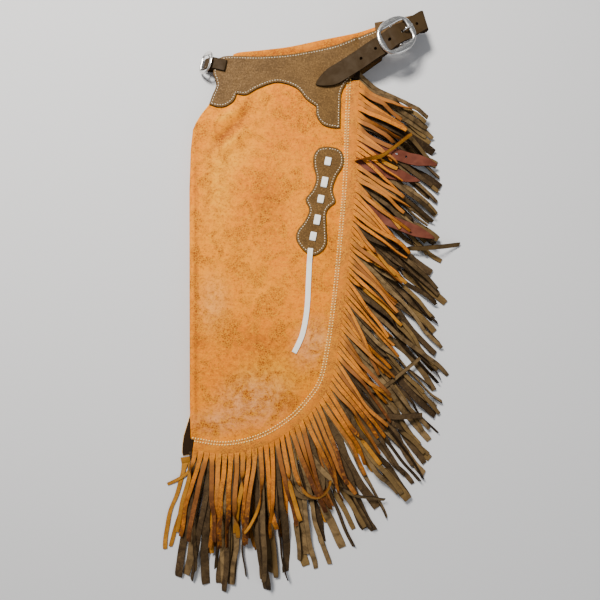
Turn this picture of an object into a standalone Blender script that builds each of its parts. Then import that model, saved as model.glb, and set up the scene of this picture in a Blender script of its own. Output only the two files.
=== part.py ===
"""Leather chaps, buckled at back and front and folded in half, one leg lying on the other.

Lengths in the tables are millimetres, in the part's own frame: +X is the fringed side,
+Y is the belt, +Z is up from the surface that the chaps lie on.
"""
import math
import random
from collections import namedtuple

import bmesh
import bpy
import numpy as np
from mathutils import Vector

MM = 0.001
GAP = 0.3
SEAM = 0.45
UP = Vector((0.0, 0.0, 1.0))

# Leather thicknesses
LEG_WALL = 2.0
YOKE_WALL = 2.0
LINING_WALL = 1.8
BELT_WALL = 2.4
CHAPE_WALL = 1.6
LACE_WALL = 1.2
STRAND_WALL = 1.6
STRAP_WALL = 1.8

# Heights of each layer's middle where the stack is thinnest, along the fringed edge
UNDER_MIDDLE = 1.0
CARAMEL_UNDER_MIDDLE = 1.2
DARK_UNDER_MIDDLE = 3.8
DARK_MIDDLE = 6.4
LEG_STRAP_MIDDLE = 8.35
LEG_STRAP_EASE = 0.2
HEM_MIDDLE = 10.4
LEG_MIDDLE = 15.0

# How far inside the fringed edge the leg reaches its full height
HEM_SLOPE = 70.0

# Colours, linear
CARAMEL = (0.50, 0.24, 0.075)
SUEDE = (0.48, 0.27, 0.07)
DARK_BROWN = (0.085, 0.055, 0.036)
BELT_BROWN = (0.055, 0.035, 0.024)
OLIVE_BROWN = (0.115, 0.085, 0.052)
OXBLOOD = (0.13, 0.045, 0.036)
IVORY = (0.86, 0.82, 0.72)
SILVER = (0.75, 0.73, 0.69)

# The fringed edge of the top leg, from the belt down and round to the folded side
HEM_EDGE = [
    (68.5, 374.6), (65.0, 280.6), (62.1, 199.5), (54.8, 110.4), (45.8, 18.0), (34.5, -68.0),
    (21.5, -127.9), (-1.2, -162.8), (-33.6, -195.2), (-82.2, -223.6), (-140.6, -236.2),
    (-196.0, -229.3),
]
# The far leg lies a little lower and its folded side a little further out
UNDER_SHIFT = (2.0, -3.0)
FAR_LEG_TOP = 330.0
UNDER_CORNER = (-212.0, -252.0)

# The leg's folded side: its outermost line, and the roll of the leather there
FOLD_LINE = [(-240.0, -197.0), (-158.0, -198.5), (184.0, -199.0), (250.0, -196.8), (286.0, -192.7)]
FOLD_RADIUS = 5.0
FOLD_RETURN = 14.0
FOLD_RETURN_MIDDLE = 6.1

# Direction in degrees in which the strands leave the edge, by the share of the edge passed
HEADINGS = [
    (0.00, -31.0), (0.12, -35.0), (0.25, -40.0), (0.40, -46.0), (0.55, -51.0),
    (0.68, -56.0), (0.75, -70.0), (0.81, -82.0), (0.89, -90.0), (0.95, -96.0), (1.01, -105.0),
]
# Share of the full length that a strand has, by the share of the edge passed
CARAMEL_LENGTHS = [
    (0.00, 0.64), (0.06, 0.62), (0.09, 0.52), (0.14, 0.52), (0.18, 0.70), (0.35, 0.78), (0.60, 0.90),
    (0.80, 1.02),
]
DARK_LENGTHS = [
    (0.00, 0.64), (0.10, 0.78), (0.22, 0.82), (0.32, 0.92), (0.42, 1.04), (0.55, 1.12), (0.66, 1.13),
    (0.75, 1.05), (0.82, 1.00),
]
# Strands past this share of the edge hang round the folded side and turn less
CORNER_SHARE = 0.97
CORNER_TURN = 0.35
# Neighbours lean together in clumps of a few strands: each strand, and a whole clump, as
# shares of the fringe's curl
CLUMP_PULL = 0.64
CLUMP_SWAY = 0.55

Crease = namedtuple("Crease", "x0 y0 x1 y1 half_width height")
CREASES = [
    Crease(-84.0, 330.0, -166.0, 244.0, 14.0, -3.0),
    Crease(-112.0, 314.0, -168.0, 272.0, 12.0, 2.2),
    Crease(-96.0, 284.0, -166.0, 232.0, 14.0, 2.2),
    Crease(-60.0, 300.0, 10.0, 250.0, 22.0, 1.0),
    Crease(-170.0, 60.0, -40.0, 20.0, 30.0, -1.0),
    Crease(-150.0, -120.0, -30.0, -60.0, 34.0, 1.0),
]
DEEPEST_CREASE = 3.2

# The belt: the line of the top strap, its heights, and the buckle's place on it
BELT_START = (6.7, 351.6)
BELT_END = (176.9, 447.4)
BELT_BOW = -3.0
BELT_HALF_WIDTH = 15.0
BUCKLE_AT = 142.5
BUCKLE_HEIGHT = 41.0
BUCKLE_HALF_LENGTH = 30.2
BUCKLE_HALF_WIDTH = 28.6
WINDOW_HALF_LENGTH = 21.0
WINDOW_HALF_WIDTH = 17.4
FRAME_HALF_THICKNESS = 2.2
BAR_HEIGHT = 37.4
BAR_RADIUS = 1.9
TONGUE_RADIUS = 1.0
HOLES_AT = (80.0, 105.0, 130.0, 181.0)
TONGUE_HOLE_AT = 154.6
HOLE_RADIUS = 2.4
TONGUE_HOLE_STRETCH = 1.9
BELT_LIFT = 20.0
BELT_LIFT_START = 20.0
BELT_LIFT_LENGTH = 110.0
UNDER_LIFT = 9.0
UNDER_LIFT_START = 70.0
UNDER_LIFT_LENGTH = 58.0

Fringe = namedtuple("Fringe", "name colour count first last inner outer middle length lengths curl seed")
FRINGES = [
    Fringe("fringe_caramel_under", SUEDE, 34, 0.50, 1.005, 2.0, 12.0, CARAMEL_UNDER_MIDDLE, 150.0,
           CARAMEL_LENGTHS, 12.0, 4),
    Fringe("fringe_dark_under", OLIVE_BROWN, 54, 0.01, 0.985, -6.0, 9.0, DARK_UNDER_MIDDLE, 205.0,
           DARK_LENGTHS, 9.0, 12),
    Fringe("fringe_dark", OLIVE_BROWN, 72, 0.00, 0.975, -6.0, 9.0, DARK_MIDDLE, 205.0,
           DARK_LENGTHS, 8.0, 23),
    Fringe("fringe_caramel", CARAMEL, 80, 0.02, 0.995, GAP, 9.0, HEM_MIDDLE, 145.0,
           CARAMEL_LENGTHS, 11.0, 31),
]
# Strands that lie well out of line: fringe, share of its strands, length, and the turn in
# degrees at shares of that length
Stray = namedtuple("Stray", "fringe share length bends")
STRAYS = [
    Stray("fringe_dark", 0.32, 190.0, [(0.1, 0.0), (0.5, 38.0), (0.9, 52.0)]),
    Stray("fringe_dark", 0.78, 200.0, [(0.1, 0.0), (0.9, 62.0)]),
    Stray("fringe_dark", 0.84, 205.0, [(0.1, 0.0), (0.45, 30.0), (0.6, 90.0), (0.8, 190.0), (1.0, 265.0)]),
    Stray("fringe_caramel_under", 0.90, 118.0, [(0.1, 0.0), (0.4, -18.0), (1.0, 8.0)]),
    Stray("fringe_caramel_under", 0.96, 58.0, [(0.15, 0.0), (0.45, -42.0), (1.0, -56.0)]),
    Stray("fringe_caramel", 0.172, 96.0, [(0.0, 0.0), (0.10, 36.0), (0.35, 44.0), (0.5, 74.0), (1.0, 72.0)]),
    Stray("fringe_caramel", 0.79, 155.0, [(0.35, 0.0), (0.6, 20.0), (0.8, 90.0), (1.0, 165.0)]),
    Stray("fringe_caramel", 0.86, 138.0, [(0.3, 0.0), (0.6, -10.0), (0.8, -30.0), (1.0, -42.0)]),
]
STRAND_FILL = 0.80
# Distances from the root at which a strand may bend, the stray ones more often
RINGS_AT = (26.0, 66.0, 120.0)
STRAY_RINGS_AT = tuple(range(22, 260, 22))
SHORTEST_END = 12.0
STILL_LENGTH = 8.0
EASING_LENGTH = 28.0
DROOP_LENGTH = 48.0
ROOT_LENGTH = 20.0

# Leg straps among the strands: root under the edge, tip, both in the part's frame
LegStrap = namedtuple("LegStrap", "name x0 y0 x1 y1 holes")
LEG_STRAPS = [
    LegStrap("leg_strap_1", 46.0, 262.0, 205.0, 224.0, (0.57, 0.67)),
    LegStrap("leg_strap_2", 44.0, 236.0, 176.0, 198.0, ()),
    LegStrap("leg_strap_3", 44.0, 170.0, 197.0, 103.0, ()),
]
LEG_STRAP_HALF_WIDTH = 9.5

# The thigh overlay's outline, from its top round to the right
OVERLAY = [
    (27.6, 253.2), (38.8, 251.6), (47.7, 246.8), (52.0, 236.0), (50.5, 222.0), (39.6, 203.4),
    (34.0, 183.0), (38.8, 164.9), (28.4, 154.4), (23.6, 144.8), (24.0, 120.0), (24.4, 98.2),
    (18.0, 85.3), (5.1, 77.3), (-7.8, 80.5), (-19.0, 91.0), (-25.4, 103.0), (-23.0, 117.5),
    (-12.0, 132.0), (-4.4, 150.0), (-10.2, 167.3), (1.0, 183.0), (6.7, 201.0), (3.0, 220.0),
    (2.4, 236.0), (7.5, 246.5), (14.7, 251.5),
]
# The lace's bits on the overlay: middle and half length
LACE_BITS = [
    (26.0, 229.0, 6.8), (20.5, 195.3, 8.6), (14.4, 167.9, 6.6), (8.6, 134.5, 8.2), (2.1, 107.7, 7.2),
]
LACE_HALF_WIDTH = 5.0
LACE_TAIL = [
    (-2.0, 88.5), (-2.8, 80.0), (-3.5, 71.0), (-4.6, 50.0), (-5.6, 28.0), (-6.6, 5.0), (-9.0, -20.0),
    (-14.5, -48.0), (-21.5, -66.0), (-28.6, -80.0),
]
LACE_TAIL_HALF_WIDTH = 4.2
# Where the lace's free end comes down from the overlay on to the leg
LACE_STEP = (64.0, 76.0)


def smooth(value):
    """Ease from 0 to 1."""
    value = min(max(value, 0.0), 1.0)
    return value * value * (3.0 - 2.0 * value)


def lookup(table, value):
    """Straight-line reading of a table of (position, value) rows."""
    return float(np.interp(value, [row[0] for row in table], [row[1] for row in table]))


def curve_through(points, step):
    """Points about one step apart on a smooth curve through the given ones."""
    ends = [2.0 * np.array(points[0]) - np.array(points[1])] + [np.array(p) for p in points]
    ends.append(2.0 * np.array(points[-1]) - np.array(points[-2]))
    line = []
    for a, b, c, d in zip(ends, ends[1:], ends[2:], ends[3:]):
        pieces = max(1, round(float(np.linalg.norm(c - b)) / step))
        for piece in range(pieces):
            t = piece / pieces
            line.append(0.5 * (2 * b + (c - a) * t + (2 * a - 5 * b + 4 * c - d) * t * t
                               + (3 * b - a - 3 * c + d) * t ** 3))
    line.append(np.array(points[-1], dtype=float))
    return [tuple(float(v) for v in point) for point in line]


def joined(*runs):
    """One closed outline from runs that follow each other, without doubled points."""
    outline = []
    for run in runs:
        for point in run:
            if not outline or math.dist(point, outline[-1]) > 1.0:
                outline.append(point)
    if math.dist(outline[0], outline[-1]) < 1.0:
        outline.pop()
    return outline


class Edge:
    """A fringed edge as a smooth line that is read by its length."""

    def __init__(self, points):
        self.points = np.array(curve_through(points, 12.0))
        steps = np.linalg.norm(np.diff(self.points, axis=0), axis=1)
        self.lengths = np.concatenate([[0.0], np.cumsum(steps)])
        self.total = float(self.lengths[-1])

    def point(self, distance):
        reach = min(max(distance, 0.0), self.total)
        spot = np.array([np.interp(reach, self.lengths, self.points[:, axis]) for axis in (0, 1)])
        return spot + (distance - reach) * self.tangent(reach)

    def tangent(self, distance):
        low = min(max(distance - 8.0, 0.0), self.total - 16.0)
        ends = [np.array([np.interp(d, self.lengths, self.points[:, axis]) for axis in (0, 1)])
                for d in (low, low + 16.0)]
        return (ends[1] - ends[0]) / np.linalg.norm(ends[1] - ends[0])

    def outward(self, distance):
        """The side that the strands hang from, to the left of the way down."""
        along = self.tangent(distance)
        return np.array([-along[1], along[0]])

    def offset(self, distance, amount):
        return self.point(distance) + self.outward(distance) * amount

    def inside(self, x, y):
        """How far a place is inside the edge; 0 outside it."""
        starts, ends = self.points[:-1], self.points[1:]
        runs = ends - starts
        away = np.array([x, y]) - starts
        share = np.clip((away * runs).sum(axis=1) / (runs * runs).sum(axis=1), 0.0, 1.0)
        gaps = away - runs * share[:, None]
        nearest = int((gaps ** 2).sum(axis=1).argmin())
        side = runs[nearest][0] * gaps[nearest][1] - runs[nearest][1] * gaps[nearest][0]
        return float(np.linalg.norm(gaps[nearest])) if side < 0.0 else 0.0


TOP_EDGE = Edge(HEM_EDGE)
UNDER_EDGE = Edge([(x + UNDER_SHIFT[0], y + UNDER_SHIFT[1]) for x, y in HEM_EDGE[:-1]] + [UNDER_CORNER])


# The belt's own directions
BELT_ALONG = np.array(BELT_END) - np.array(BELT_START)
BELT_LENGTH = float(np.linalg.norm(BELT_ALONG))
BELT_ALONG = BELT_ALONG / BELT_LENGTH
BELT_ACROSS = np.array([-BELT_ALONG[1], BELT_ALONG[0]])
BELT_ANGLE = math.atan2(BELT_ALONG[1], BELT_ALONG[0])


def belt_reach(x, y):
    """How far along the belt a place is."""
    return float(np.dot(np.array([x, y]) - np.array(BELT_START), BELT_ALONG))


def belt_point(along, across, height):
    """A place given in the belt's own directions."""
    share = along / BELT_LENGTH
    bow = BELT_BOW * 4.0 * share * (1.0 - share) if 0.0 < share < 1.0 else 0.0
    spot = np.array(BELT_START) + BELT_ALONG * along + BELT_ACROSS * (across + bow)
    return Vector((spot[0], spot[1], height))


def belt_lift(x, y):
    """The buckled end of the belt stands up from the pile."""
    return BELT_LIFT * smooth((belt_reach(x, y) - BELT_LIFT_START) / BELT_LIFT_LENGTH)


def crease_height(x, y):
    """Soft troughs and ridges, each fading out along its length and its width."""
    total = 0.0
    for crease in CREASES:
        start = np.array([crease.x0, crease.y0])
        run = np.array([crease.x1, crease.y1]) - start
        length = float(np.linalg.norm(run))
        run = run / length
        away = np.array([x, y]) - start
        along = float(np.dot(away, run)) / length
        across = abs(float(run[0] * away[1] - run[1] * away[0])) / crease.half_width
        total += crease.height * (1.0 - smooth(abs(2.0 * along - 1.0))) * (1.0 - smooth(across))
    return total


def leg_middle(x, y):
    """Height of the middle of the top leg's leather."""
    slope = smooth(TOP_EDGE.inside(x, y) / HEM_SLOPE)
    return HEM_MIDDLE + (LEG_MIDDLE - HEM_MIDDLE) * slope + crease_height(x, y) * slope + belt_lift(x, y)


def leg_top(x, y):
    return leg_middle(x, y) + LEG_WALL / 2.0


def yoke_middle(x, y):
    """The yoke lies on the leg, and a little freer where the belt lifts both."""
    freedom = 0.8 * smooth((belt_reach(x, y) - 15.0) / 25.0)
    return leg_top(x, y) + SEAM + freedom + YOKE_WALL / 2.0


def yoke_top(x, y):
    return yoke_middle(x, y) + YOKE_WALL / 2.0


def under_lift(x):
    """The far yoke's belt end rises towards the strap that folds over it."""
    return UNDER_LIFT * smooth((x - UNDER_LIFT_START) / UNDER_LIFT_LENGTH)


def finish(name, bm, colour, metallic=0.0, roughness=0.6):
    """Turn a mesh in millimetres into an object in metres."""
    bmesh.ops.triangulate(bm, faces=bm.faces)
    bmesh.ops.recalc_face_normals(bm, faces=bm.faces)
    bmesh.ops.scale(bm, vec=(MM, MM, MM), verts=bm.verts)
    mesh = bpy.data.meshes.new(name)
    bm.to_mesh(mesh)
    bm.free()
    item = bpy.data.objects.new(name, mesh)
    bpy.context.collection.objects.link(item)
    material = bpy.data.materials.new(name + "_finish")
    material.use_nodes = True
    shader = material.node_tree.nodes["Principled BSDF"]
    shader.inputs["Base Color"].default_value = (*colour, 1.0)
    shader.inputs["Metallic"].default_value = metallic
    shader.inputs["Roughness"].default_value = roughness
    mesh.materials.append(material)
    return item


def flat_mesh(outline, cell):
    """A triangulated flat panel: its outline filled and ruled into cells."""
    bm = bmesh.new()
    bm.faces.new([bm.verts.new((x, y, 0.0)) for x, y in outline])
    for axis in (0, 1):
        low = min(point[axis] for point in outline)
        high = max(point[axis] for point in outline)
        count = max(1, round((high - low) / cell))
        normal = [0.0, 0.0, 0.0]
        normal[axis] = 1.0
        for line in range(1, count):
            place = [0.0, 0.0, 0.0]
            place[axis] = low + (high - low) * line / count
            geometry = bm.verts[:] + bm.edges[:] + bm.faces[:]
            bmesh.ops.bisect_plane(bm, geom=geometry, dist=0.01, plane_co=place, plane_no=normal)
    bmesh.ops.triangulate(bm, faces=bm.faces)
    for face in bm.faces:
        if face.normal.z < 0.0:
            face.normal_flip()
    return bm


def wall(name, outline, place, thickness, cell, colour):
    """A leather panel: the flat panel put in place by its middle and its normal."""
    flat = flat_mesh(outline, cell)
    bm = bmesh.new()
    upper, lower = {}, {}
    for vert in flat.verts:
        middle, normal = place(vert.co.x, vert.co.y)
        upper[vert] = bm.verts.new(middle + normal * thickness / 2.0)
        lower[vert] = bm.verts.new(middle - normal * thickness / 2.0)
    for face in flat.faces:
        bm.faces.new([upper[vert] for vert in face.verts])
        bm.faces.new([lower[vert] for vert in reversed(face.verts)])
    for edge in flat.edges:
        if edge.is_boundary:
            a, b = edge.link_loops[0].vert, edge.link_loops[0].link_loop_next.vert
            bm.faces.new([upper[b], upper[a], lower[a], lower[b]])
    flat.free()
    return finish(name, bm, colour)


def level(height):
    """A placing that keeps a panel over its flat outline."""
    return lambda x, y: (Vector((x, y, height(x, y))), UP)


def ribbon(name, stations, thickness, colour, metallic=0.0, roughness=0.6):
    """A strap through stations, each a middle, a half-width vector and a face normal."""
    bm = bmesh.new()
    rings = []
    for middle, half, normal in stations:
        out = normal * thickness / 2.0
        corners = ((1, 1), (-1, 1), (-1, -1), (1, -1))
        rings.append([bm.verts.new(middle + a * half + b * out) for a, b in corners])
    for a, b in zip(rings, rings[1:]):
        for side in range(4):
            following = (side + 1) % 4
            bm.faces.new([a[side], a[following], b[following], b[side]])
    bm.faces.new(rings[0])
    bm.faces.new(list(reversed(rings[-1])))
    return finish(name, bm, colour, metallic, roughness)


def boolean(item, cutter, operation):
    """Cut or join with another object, which is then removed."""
    change = item.modifiers.new("shape", "BOOLEAN")
    change.operation = operation
    change.object = cutter
    graph = bpy.context.evaluated_depsgraph_get()
    mesh = bpy.data.meshes.new_from_object(item.evaluated_get(graph))
    item.modifiers.clear()
    item.data = mesh
    bpy.data.objects.remove(cutter)


def rod(name, start, end, radius, sides, colour, metallic=0.0, roughness=0.4, stretch=1.0, towards=None):
    """A straight bar; its section may be stretched along a given direction."""
    axis = (end - start).normalized()
    first = (towards or UP.cross(axis)).normalized()
    second = axis.cross(first).normalized()
    bm = bmesh.new()
    rings = []
    for middle in (start, end):
        ring = []
        for side in range(sides):
            angle = 2.0 * math.pi * side / sides
            away = first * math.cos(angle) * stretch + second * math.sin(angle)
            ring.append(bm.verts.new(middle + away * radius))
        rings.append(ring)
    for side in range(sides):
        following = (side + 1) % sides
        bm.faces.new([rings[0][side], rings[0][following], rings[1][following], rings[1][side]])
    bm.faces.new(rings[0])
    bm.faces.new(list(reversed(rings[1])))
    return finish(name, bm, colour, metallic, roughness)


# The two legs and what lies between them

def rolled(x, y):
    """The top leg's leather rolls round its folded side and returns below itself."""
    axis = lookup(FOLD_LINE, y) + LEG_WALL / 2.0 + FOLD_RADIUS
    if x >= axis:
        return Vector((x, y, leg_middle(x, y))), UP
    height = leg_middle(axis, y)
    radius = (height - FOLD_RETURN_MIDDLE) / 2.0
    turn = (axis - x) / FOLD_RADIUS
    if turn < math.pi:
        normal = Vector((-math.sin(turn), 0.0, math.cos(turn)))
        centre = Vector((axis - FOLD_RADIUS + radius, y, height - radius))
        return centre + normal * radius, normal
    return Vector((axis - FOLD_RADIUS + radius + (turn - math.pi) * FOLD_RADIUS, y, FOLD_RETURN_MIDDLE)), -UP


def make_legs():
    # Flat outline of the top leg, with the width that rolls under at the left
    rolled_width = math.pi * FOLD_RADIUS + FOLD_RETURN
    left = FOLD_LINE[0][1] + FOLD_RADIUS - rolled_width
    right = curve_through(HEM_EDGE, 16.0)
    bottom = [(right[-1][0] - rolled_width * 0.4, right[-1][1] + 3.0), (left, right[-1][1] + 12.0)]
    side = [(left, 240.0), (left + rolled_width * 0.6, 270.0)]
    rise = [
        (-190.6, 285.0), (-184.0, 298.0), (-175.0, 311.0), (-164.6, 324.4), (-158.0, 342.2),
        (-149.0, 361.6), (-144.5, 376.0),
    ]
    top = [(-35.3, 382.0), (66.0, 388.6)]
    outline = joined(right, bottom, side, rise, top)
    wall("leg_panel", outline, rolled, LEG_WALL, 24.0, CARAMEL)

    # The far leg ends where its yoke begins
    hem = [(x + UNDER_SHIFT[0], y + UNDER_SHIFT[1]) for x, y in HEM_EDGE[:-1]]
    under = curve_through(hem + [UNDER_CORNER], 30.0)
    under = [point for point in under if point[1] < FAR_LEG_TOP - 1.0]
    lip = [
        (-213.6, -246.0), (-213.0, -233.0), (-210.8, -218.0), (-206.2, -203.0), (-201.0, -186.0),
        (-197.0, -160.0), (-197.0, 262.0), (-186.0, 296.0), (-168.0, FAR_LEG_TOP),
    ]
    outline = joined([(under[0][0], FAR_LEG_TOP)], under, lip)
    wall("leg_panel_under", outline, level(lambda x, y: UNDER_MIDDLE), LEG_WALL, 90.0, CARAMEL)


# The layers' sides from the bottom up: how far in, share of the height; a groove per layer
LAYER_ROWS = [(0.0, 0.0), (0.0, 0.38), (2.4, 0.45), (0.0, 0.52), (3.0, 1.0)]
LAYER_INSET = 36.0


def make_folded_layers():
    """One rounded solid for the folded layers between the two legs, grooved at its sides."""
    places = np.arange(6.0, TOP_EDGE.total - LAYER_INSET, 50.0)
    right = [tuple(TOP_EDGE.offset(place, -LAYER_INSET)) for place in places]
    left = [
        (-168.0, -190.0), (-172.0, -180.0), (-172.0, 262.0), (-160.0, 300.0), (-146.0, 330.0),
        (-142.0, 384.0),
    ]
    top = [(-60.0, 386.0), (0.0, 391.0)]
    outline = joined(right, left, top)

    def clear_top(x, y):
        slope = smooth(TOP_EDGE.inside(x, y) / HEM_SLOPE)
        return HEM_MIDDLE + (LEG_MIDDLE - HEM_MIDDLE) * slope - LEG_WALL / 2.0 - DEEPEST_CREASE

    base = UNDER_MIDDLE + LEG_WALL / 2.0 + GAP
    bottom_mesh = flat_mesh(outline, 56.0)
    bm = bmesh.new()
    centre = np.mean(np.array(outline), axis=0)

    def pulled(x, y, amount):
        away = np.array([x, y]) - centre
        size = float(np.linalg.norm(away))
        spot = centre + away * (1.0 - amount / size)
        return float(spot[0]), float(spot[1])

    boundary = {vert for edge in bottom_mesh.edges if edge.is_boundary for vert in edge.verts}
    columns, top_verts, low_verts = {}, {}, {}
    for vert in bottom_mesh.verts:
        x, y = vert.co.x, vert.co.y
        if vert in boundary:
            column = []
            for amount, share in LAYER_ROWS:
                px, py = pulled(x, y, amount)
                column.append(bm.verts.new((px, py, base + (clear_top(px, py) - base) * share)))
            columns[vert] = column
            low_verts[vert], top_verts[vert] = column[0], column[-1]
        else:
            low_verts[vert] = bm.verts.new((x, y, base))
            top_verts[vert] = bm.verts.new((x, y, clear_top(x, y)))
    for face in bottom_mesh.faces:
        bm.faces.new([top_verts[vert] for vert in face.verts])
        bm.faces.new([low_verts[vert] for vert in reversed(face.verts)])
    for edge in bottom_mesh.edges:
        if edge.is_boundary:
            a, b = edge.link_loops[0].vert, edge.link_loops[0].link_loop_next.vert
            for row in range(len(LAYER_ROWS) - 1):
                bm.faces.new([columns[b][row + 1], columns[a][row + 1], columns[a][row], columns[b][row]])
    bottom_mesh.free()
    finish("folded_layers", bm, CARAMEL)


# The yokes, the lining that shows above the top one, and the thigh overlay

YOKE_TOP = [(-158.4, 390.0), (-142.2, 398.1), (-116.3, 398.6), (-80.6, 398.1), (-35.2, 401.4), (-2.8, 407.0),
            (37.3, 413.6), (68.8, 421.7), (105.5, 432.8)]
YOKE_END = [(105.5, 432.8), (112.0, 421.0), (116.5, 396.5)]
YOKE_LOWER = [(116.5, 396.5), (95.6, 385.5), (80.5, 377.3), (64.4, 362.8), (53.5, 352.1), (47.8, 339.0),
              (47.0, 319.1)]
YOKE_TAB = [(46.2, 283.7), (34.2, 283.7), (21.3, 286.4), (12.4, 293.3), (6.8, 303.8), (6.8, 317.5)]
YOKE_SCALLOP = [(6.8, 317.5), (-10.1, 329.6), (-25.4, 347.3), (-56.0, 356.2), (-86.7, 346.5), (-106.0, 336.0),
                (-121.3, 337.6)]
YOKE_LOBE = [(-121.3, 337.6), (-125.5, 327.0), (-138.2, 317.8), (-152.0, 316.3), (-165.6, 320.7)]
YOKE_LEFT = [(-165.6, 320.7), (-159.9, 336.8), (-153.5, 352.9), (-159.1, 369.0)]
LINING_TOP = [(-128.5, 408.5), (-117.0, 412.0), (-81.1, 415.4), (-35.3, 421.1), (13.7, 431.5), (61.6, 441.0),
              (116.5, 453.0)]


def make_yokes():
    outline = joined(curve_through(YOKE_TOP, 22.0), YOKE_END, curve_through(YOKE_LOWER, 14.0),
                     curve_through(YOKE_TAB, 10.0), curve_through(YOKE_SCALLOP, 12.0),
                     curve_through(YOKE_LOBE, 10.0), curve_through(YOKE_LEFT, 20.0))
    wall("yoke", outline, level(yoke_middle), YOKE_WALL, 19.0, DARK_BROWN)

    lining_low = [(x, y - 7.0) for x, y in YOKE_TOP[2:-1]] + [(116.0, 429.0)]
    lining_edge = curve_through(LINING_TOP, 24.0)
    outline = joined([(-131.0, 391.8)], curve_through(lining_low, 24.0), list(reversed(lining_edge)))
    wall("yoke_lining", outline, level(lambda x, y: YOKE_WALL + SEAM + LINING_WALL / 2.0 + under_lift(x)),
         LINING_WALL, 24.0, CARAMEL)

    inlay = FAR_LEG_TOP + GAP
    under_top = [(x - 1.0, y - 1.0) for x, y in lining_edge]
    outline = joined([(-168.0, inlay), (66.0, inlay), (58.0, 356.0), (84.0, 376.0), (115.0, 396.0)],
                     list(reversed(under_top)), [(-150.0, 398.0), (-160.0, 372.0), (-155.0, 352.0)])
    wall("yoke_under", outline, level(lambda x, y: UNDER_MIDDLE + under_lift(x)), YOKE_WALL, 24.0, DARK_BROWN)


def make_overlay():
    outline = curve_through(OVERLAY + [OVERLAY[0]], 9.0)[:-1]
    wall("thigh_overlay", outline, level(yoke_middle), YOKE_WALL, 26.0, DARK_BROWN)
    first, last = LACE_BITS[0], LACE_BITS[-1]
    along = Vector((last[0] - first[0], last[1] - first[1], 0.0)).normalized()
    across = Vector((-along.y, along.x, 0.0)) * LACE_HALF_WIDTH
    for number, (x, y, half_length) in enumerate(LACE_BITS, start=1):
        stations = []
        for share, rise, width in ((-1.0, 0.0, 0.8), (-0.6, 0.5, 1.0), (0.6, 0.5, 1.0), (1.0, 0.0, 0.8)):
            spot = Vector((x, y, 0.0)) + along * half_length * share
            spot.z = yoke_middle(spot.x, spot.y) + (YOKE_WALL + LACE_WALL) / 2.0 + GAP + 0.1 + rise
            stations.append((spot, across * width, UP))
        ribbon("lace_bit_%d" % number, stations, LACE_WALL, IVORY)


def make_lace_tail():
    """The lace's free end: on the overlay's lower end, then down on to the leg."""
    line = curve_through(LACE_TAIL, 6.0)
    stations = []
    for index, (x, y) in enumerate(line):
        before, after = line[max(index - 1, 0)], line[min(index + 1, len(line) - 1)]
        along = Vector((after[0] - before[0], after[1] - before[1], 0.0)).normalized()
        half = Vector((-along.y, along.x, 0.0)) * LACE_TAIL_HALF_WIDTH
        raised = smooth((y - LACE_STEP[0]) / (LACE_STEP[1] - LACE_STEP[0]))
        below = leg_top(x, y) * (1.0 - raised) + yoke_top(x, y) * raised
        stations.append((Vector((x, y, below + SEAM + LACE_WALL / 2.0)), half, UP))
    ribbon("lace_tail", stations, LACE_WALL, IVORY)


# The belt: strap, buckle, tongue and the loop that holds the buckle

def billet_height(along):
    """Middle of the top strap: on the yoke, under the buckle's ends and over its bar."""
    sides = (-BELT_HALF_WIDTH, 0.0, BELT_HALF_WIDTH)
    below = [belt_point(along + step, side, 0.0) for step in (-7.0, 0.0, 7.0) for side in sides]
    on_yoke = max(yoke_middle(x, y) for x, y, _ in below) + (YOKE_WALL + BELT_WALL) / 2.0 + GAP
    low = BUCKLE_HEIGHT - FRAME_HALF_THICKNESS - GAP - 0.1 - BELT_WALL / 2.0
    high = BAR_HEIGHT + BAR_RADIUS + CHAPE_WALL + 3.0 * GAP + 0.2 + BELT_WALL / 2.0
    table = [(BUCKLE_AT - 33.0, low - 0.4), (BUCKLE_AT - 17.0, low), (BUCKLE_AT - 8.0, high - 0.7),
             (BUCKLE_AT, high), (BUCKLE_AT + 7.0, high - 0.7), (BUCKLE_AT + 16.5, low),
             (BUCKLE_AT + 31.0, low - 0.3), (BELT_LENGTH, low - 3.0)]
    share = smooth((along - BUCKLE_RISE_START) / BUCKLE_RISE_LENGTH)
    return on_yoke * (1.0 - share) + lookup(table, along) * share


# Where the top strap leaves the yoke for the buckle
BUCKLE_RISE_START = 84.0
BUCKLE_RISE_LENGTH = 26.0
# The strap's fold at its far end, and the part that comes back below
FOLD_ANGLE = math.radians(107.0)
STRAP_FOLD_RADIUS = 4.6
RETURN_ANGLE = math.radians(184.5)
RETURN_LENGTH = 72.0
RETURN_SHARES = (0.16, 0.36, 0.56, 0.76, 1.0)
# Half widths of the strap's pointed tip by the distance from it, and the distances of its other rings
BILLET_TIP = [(0.0, 0.8), (3.0, 3.6), (9.0, 7.4), (17.0, 11.0), (33.0, 15.0)]
BILLET_RINGS = (48.0, 64.0, 80.0, 96.0, 105.0, 114.0, 121.0, 128.0, 134.5, 139.0, 142.5, 146.5, 150.0, 156.0,
                162.5, 173.5, 184.0)


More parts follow.
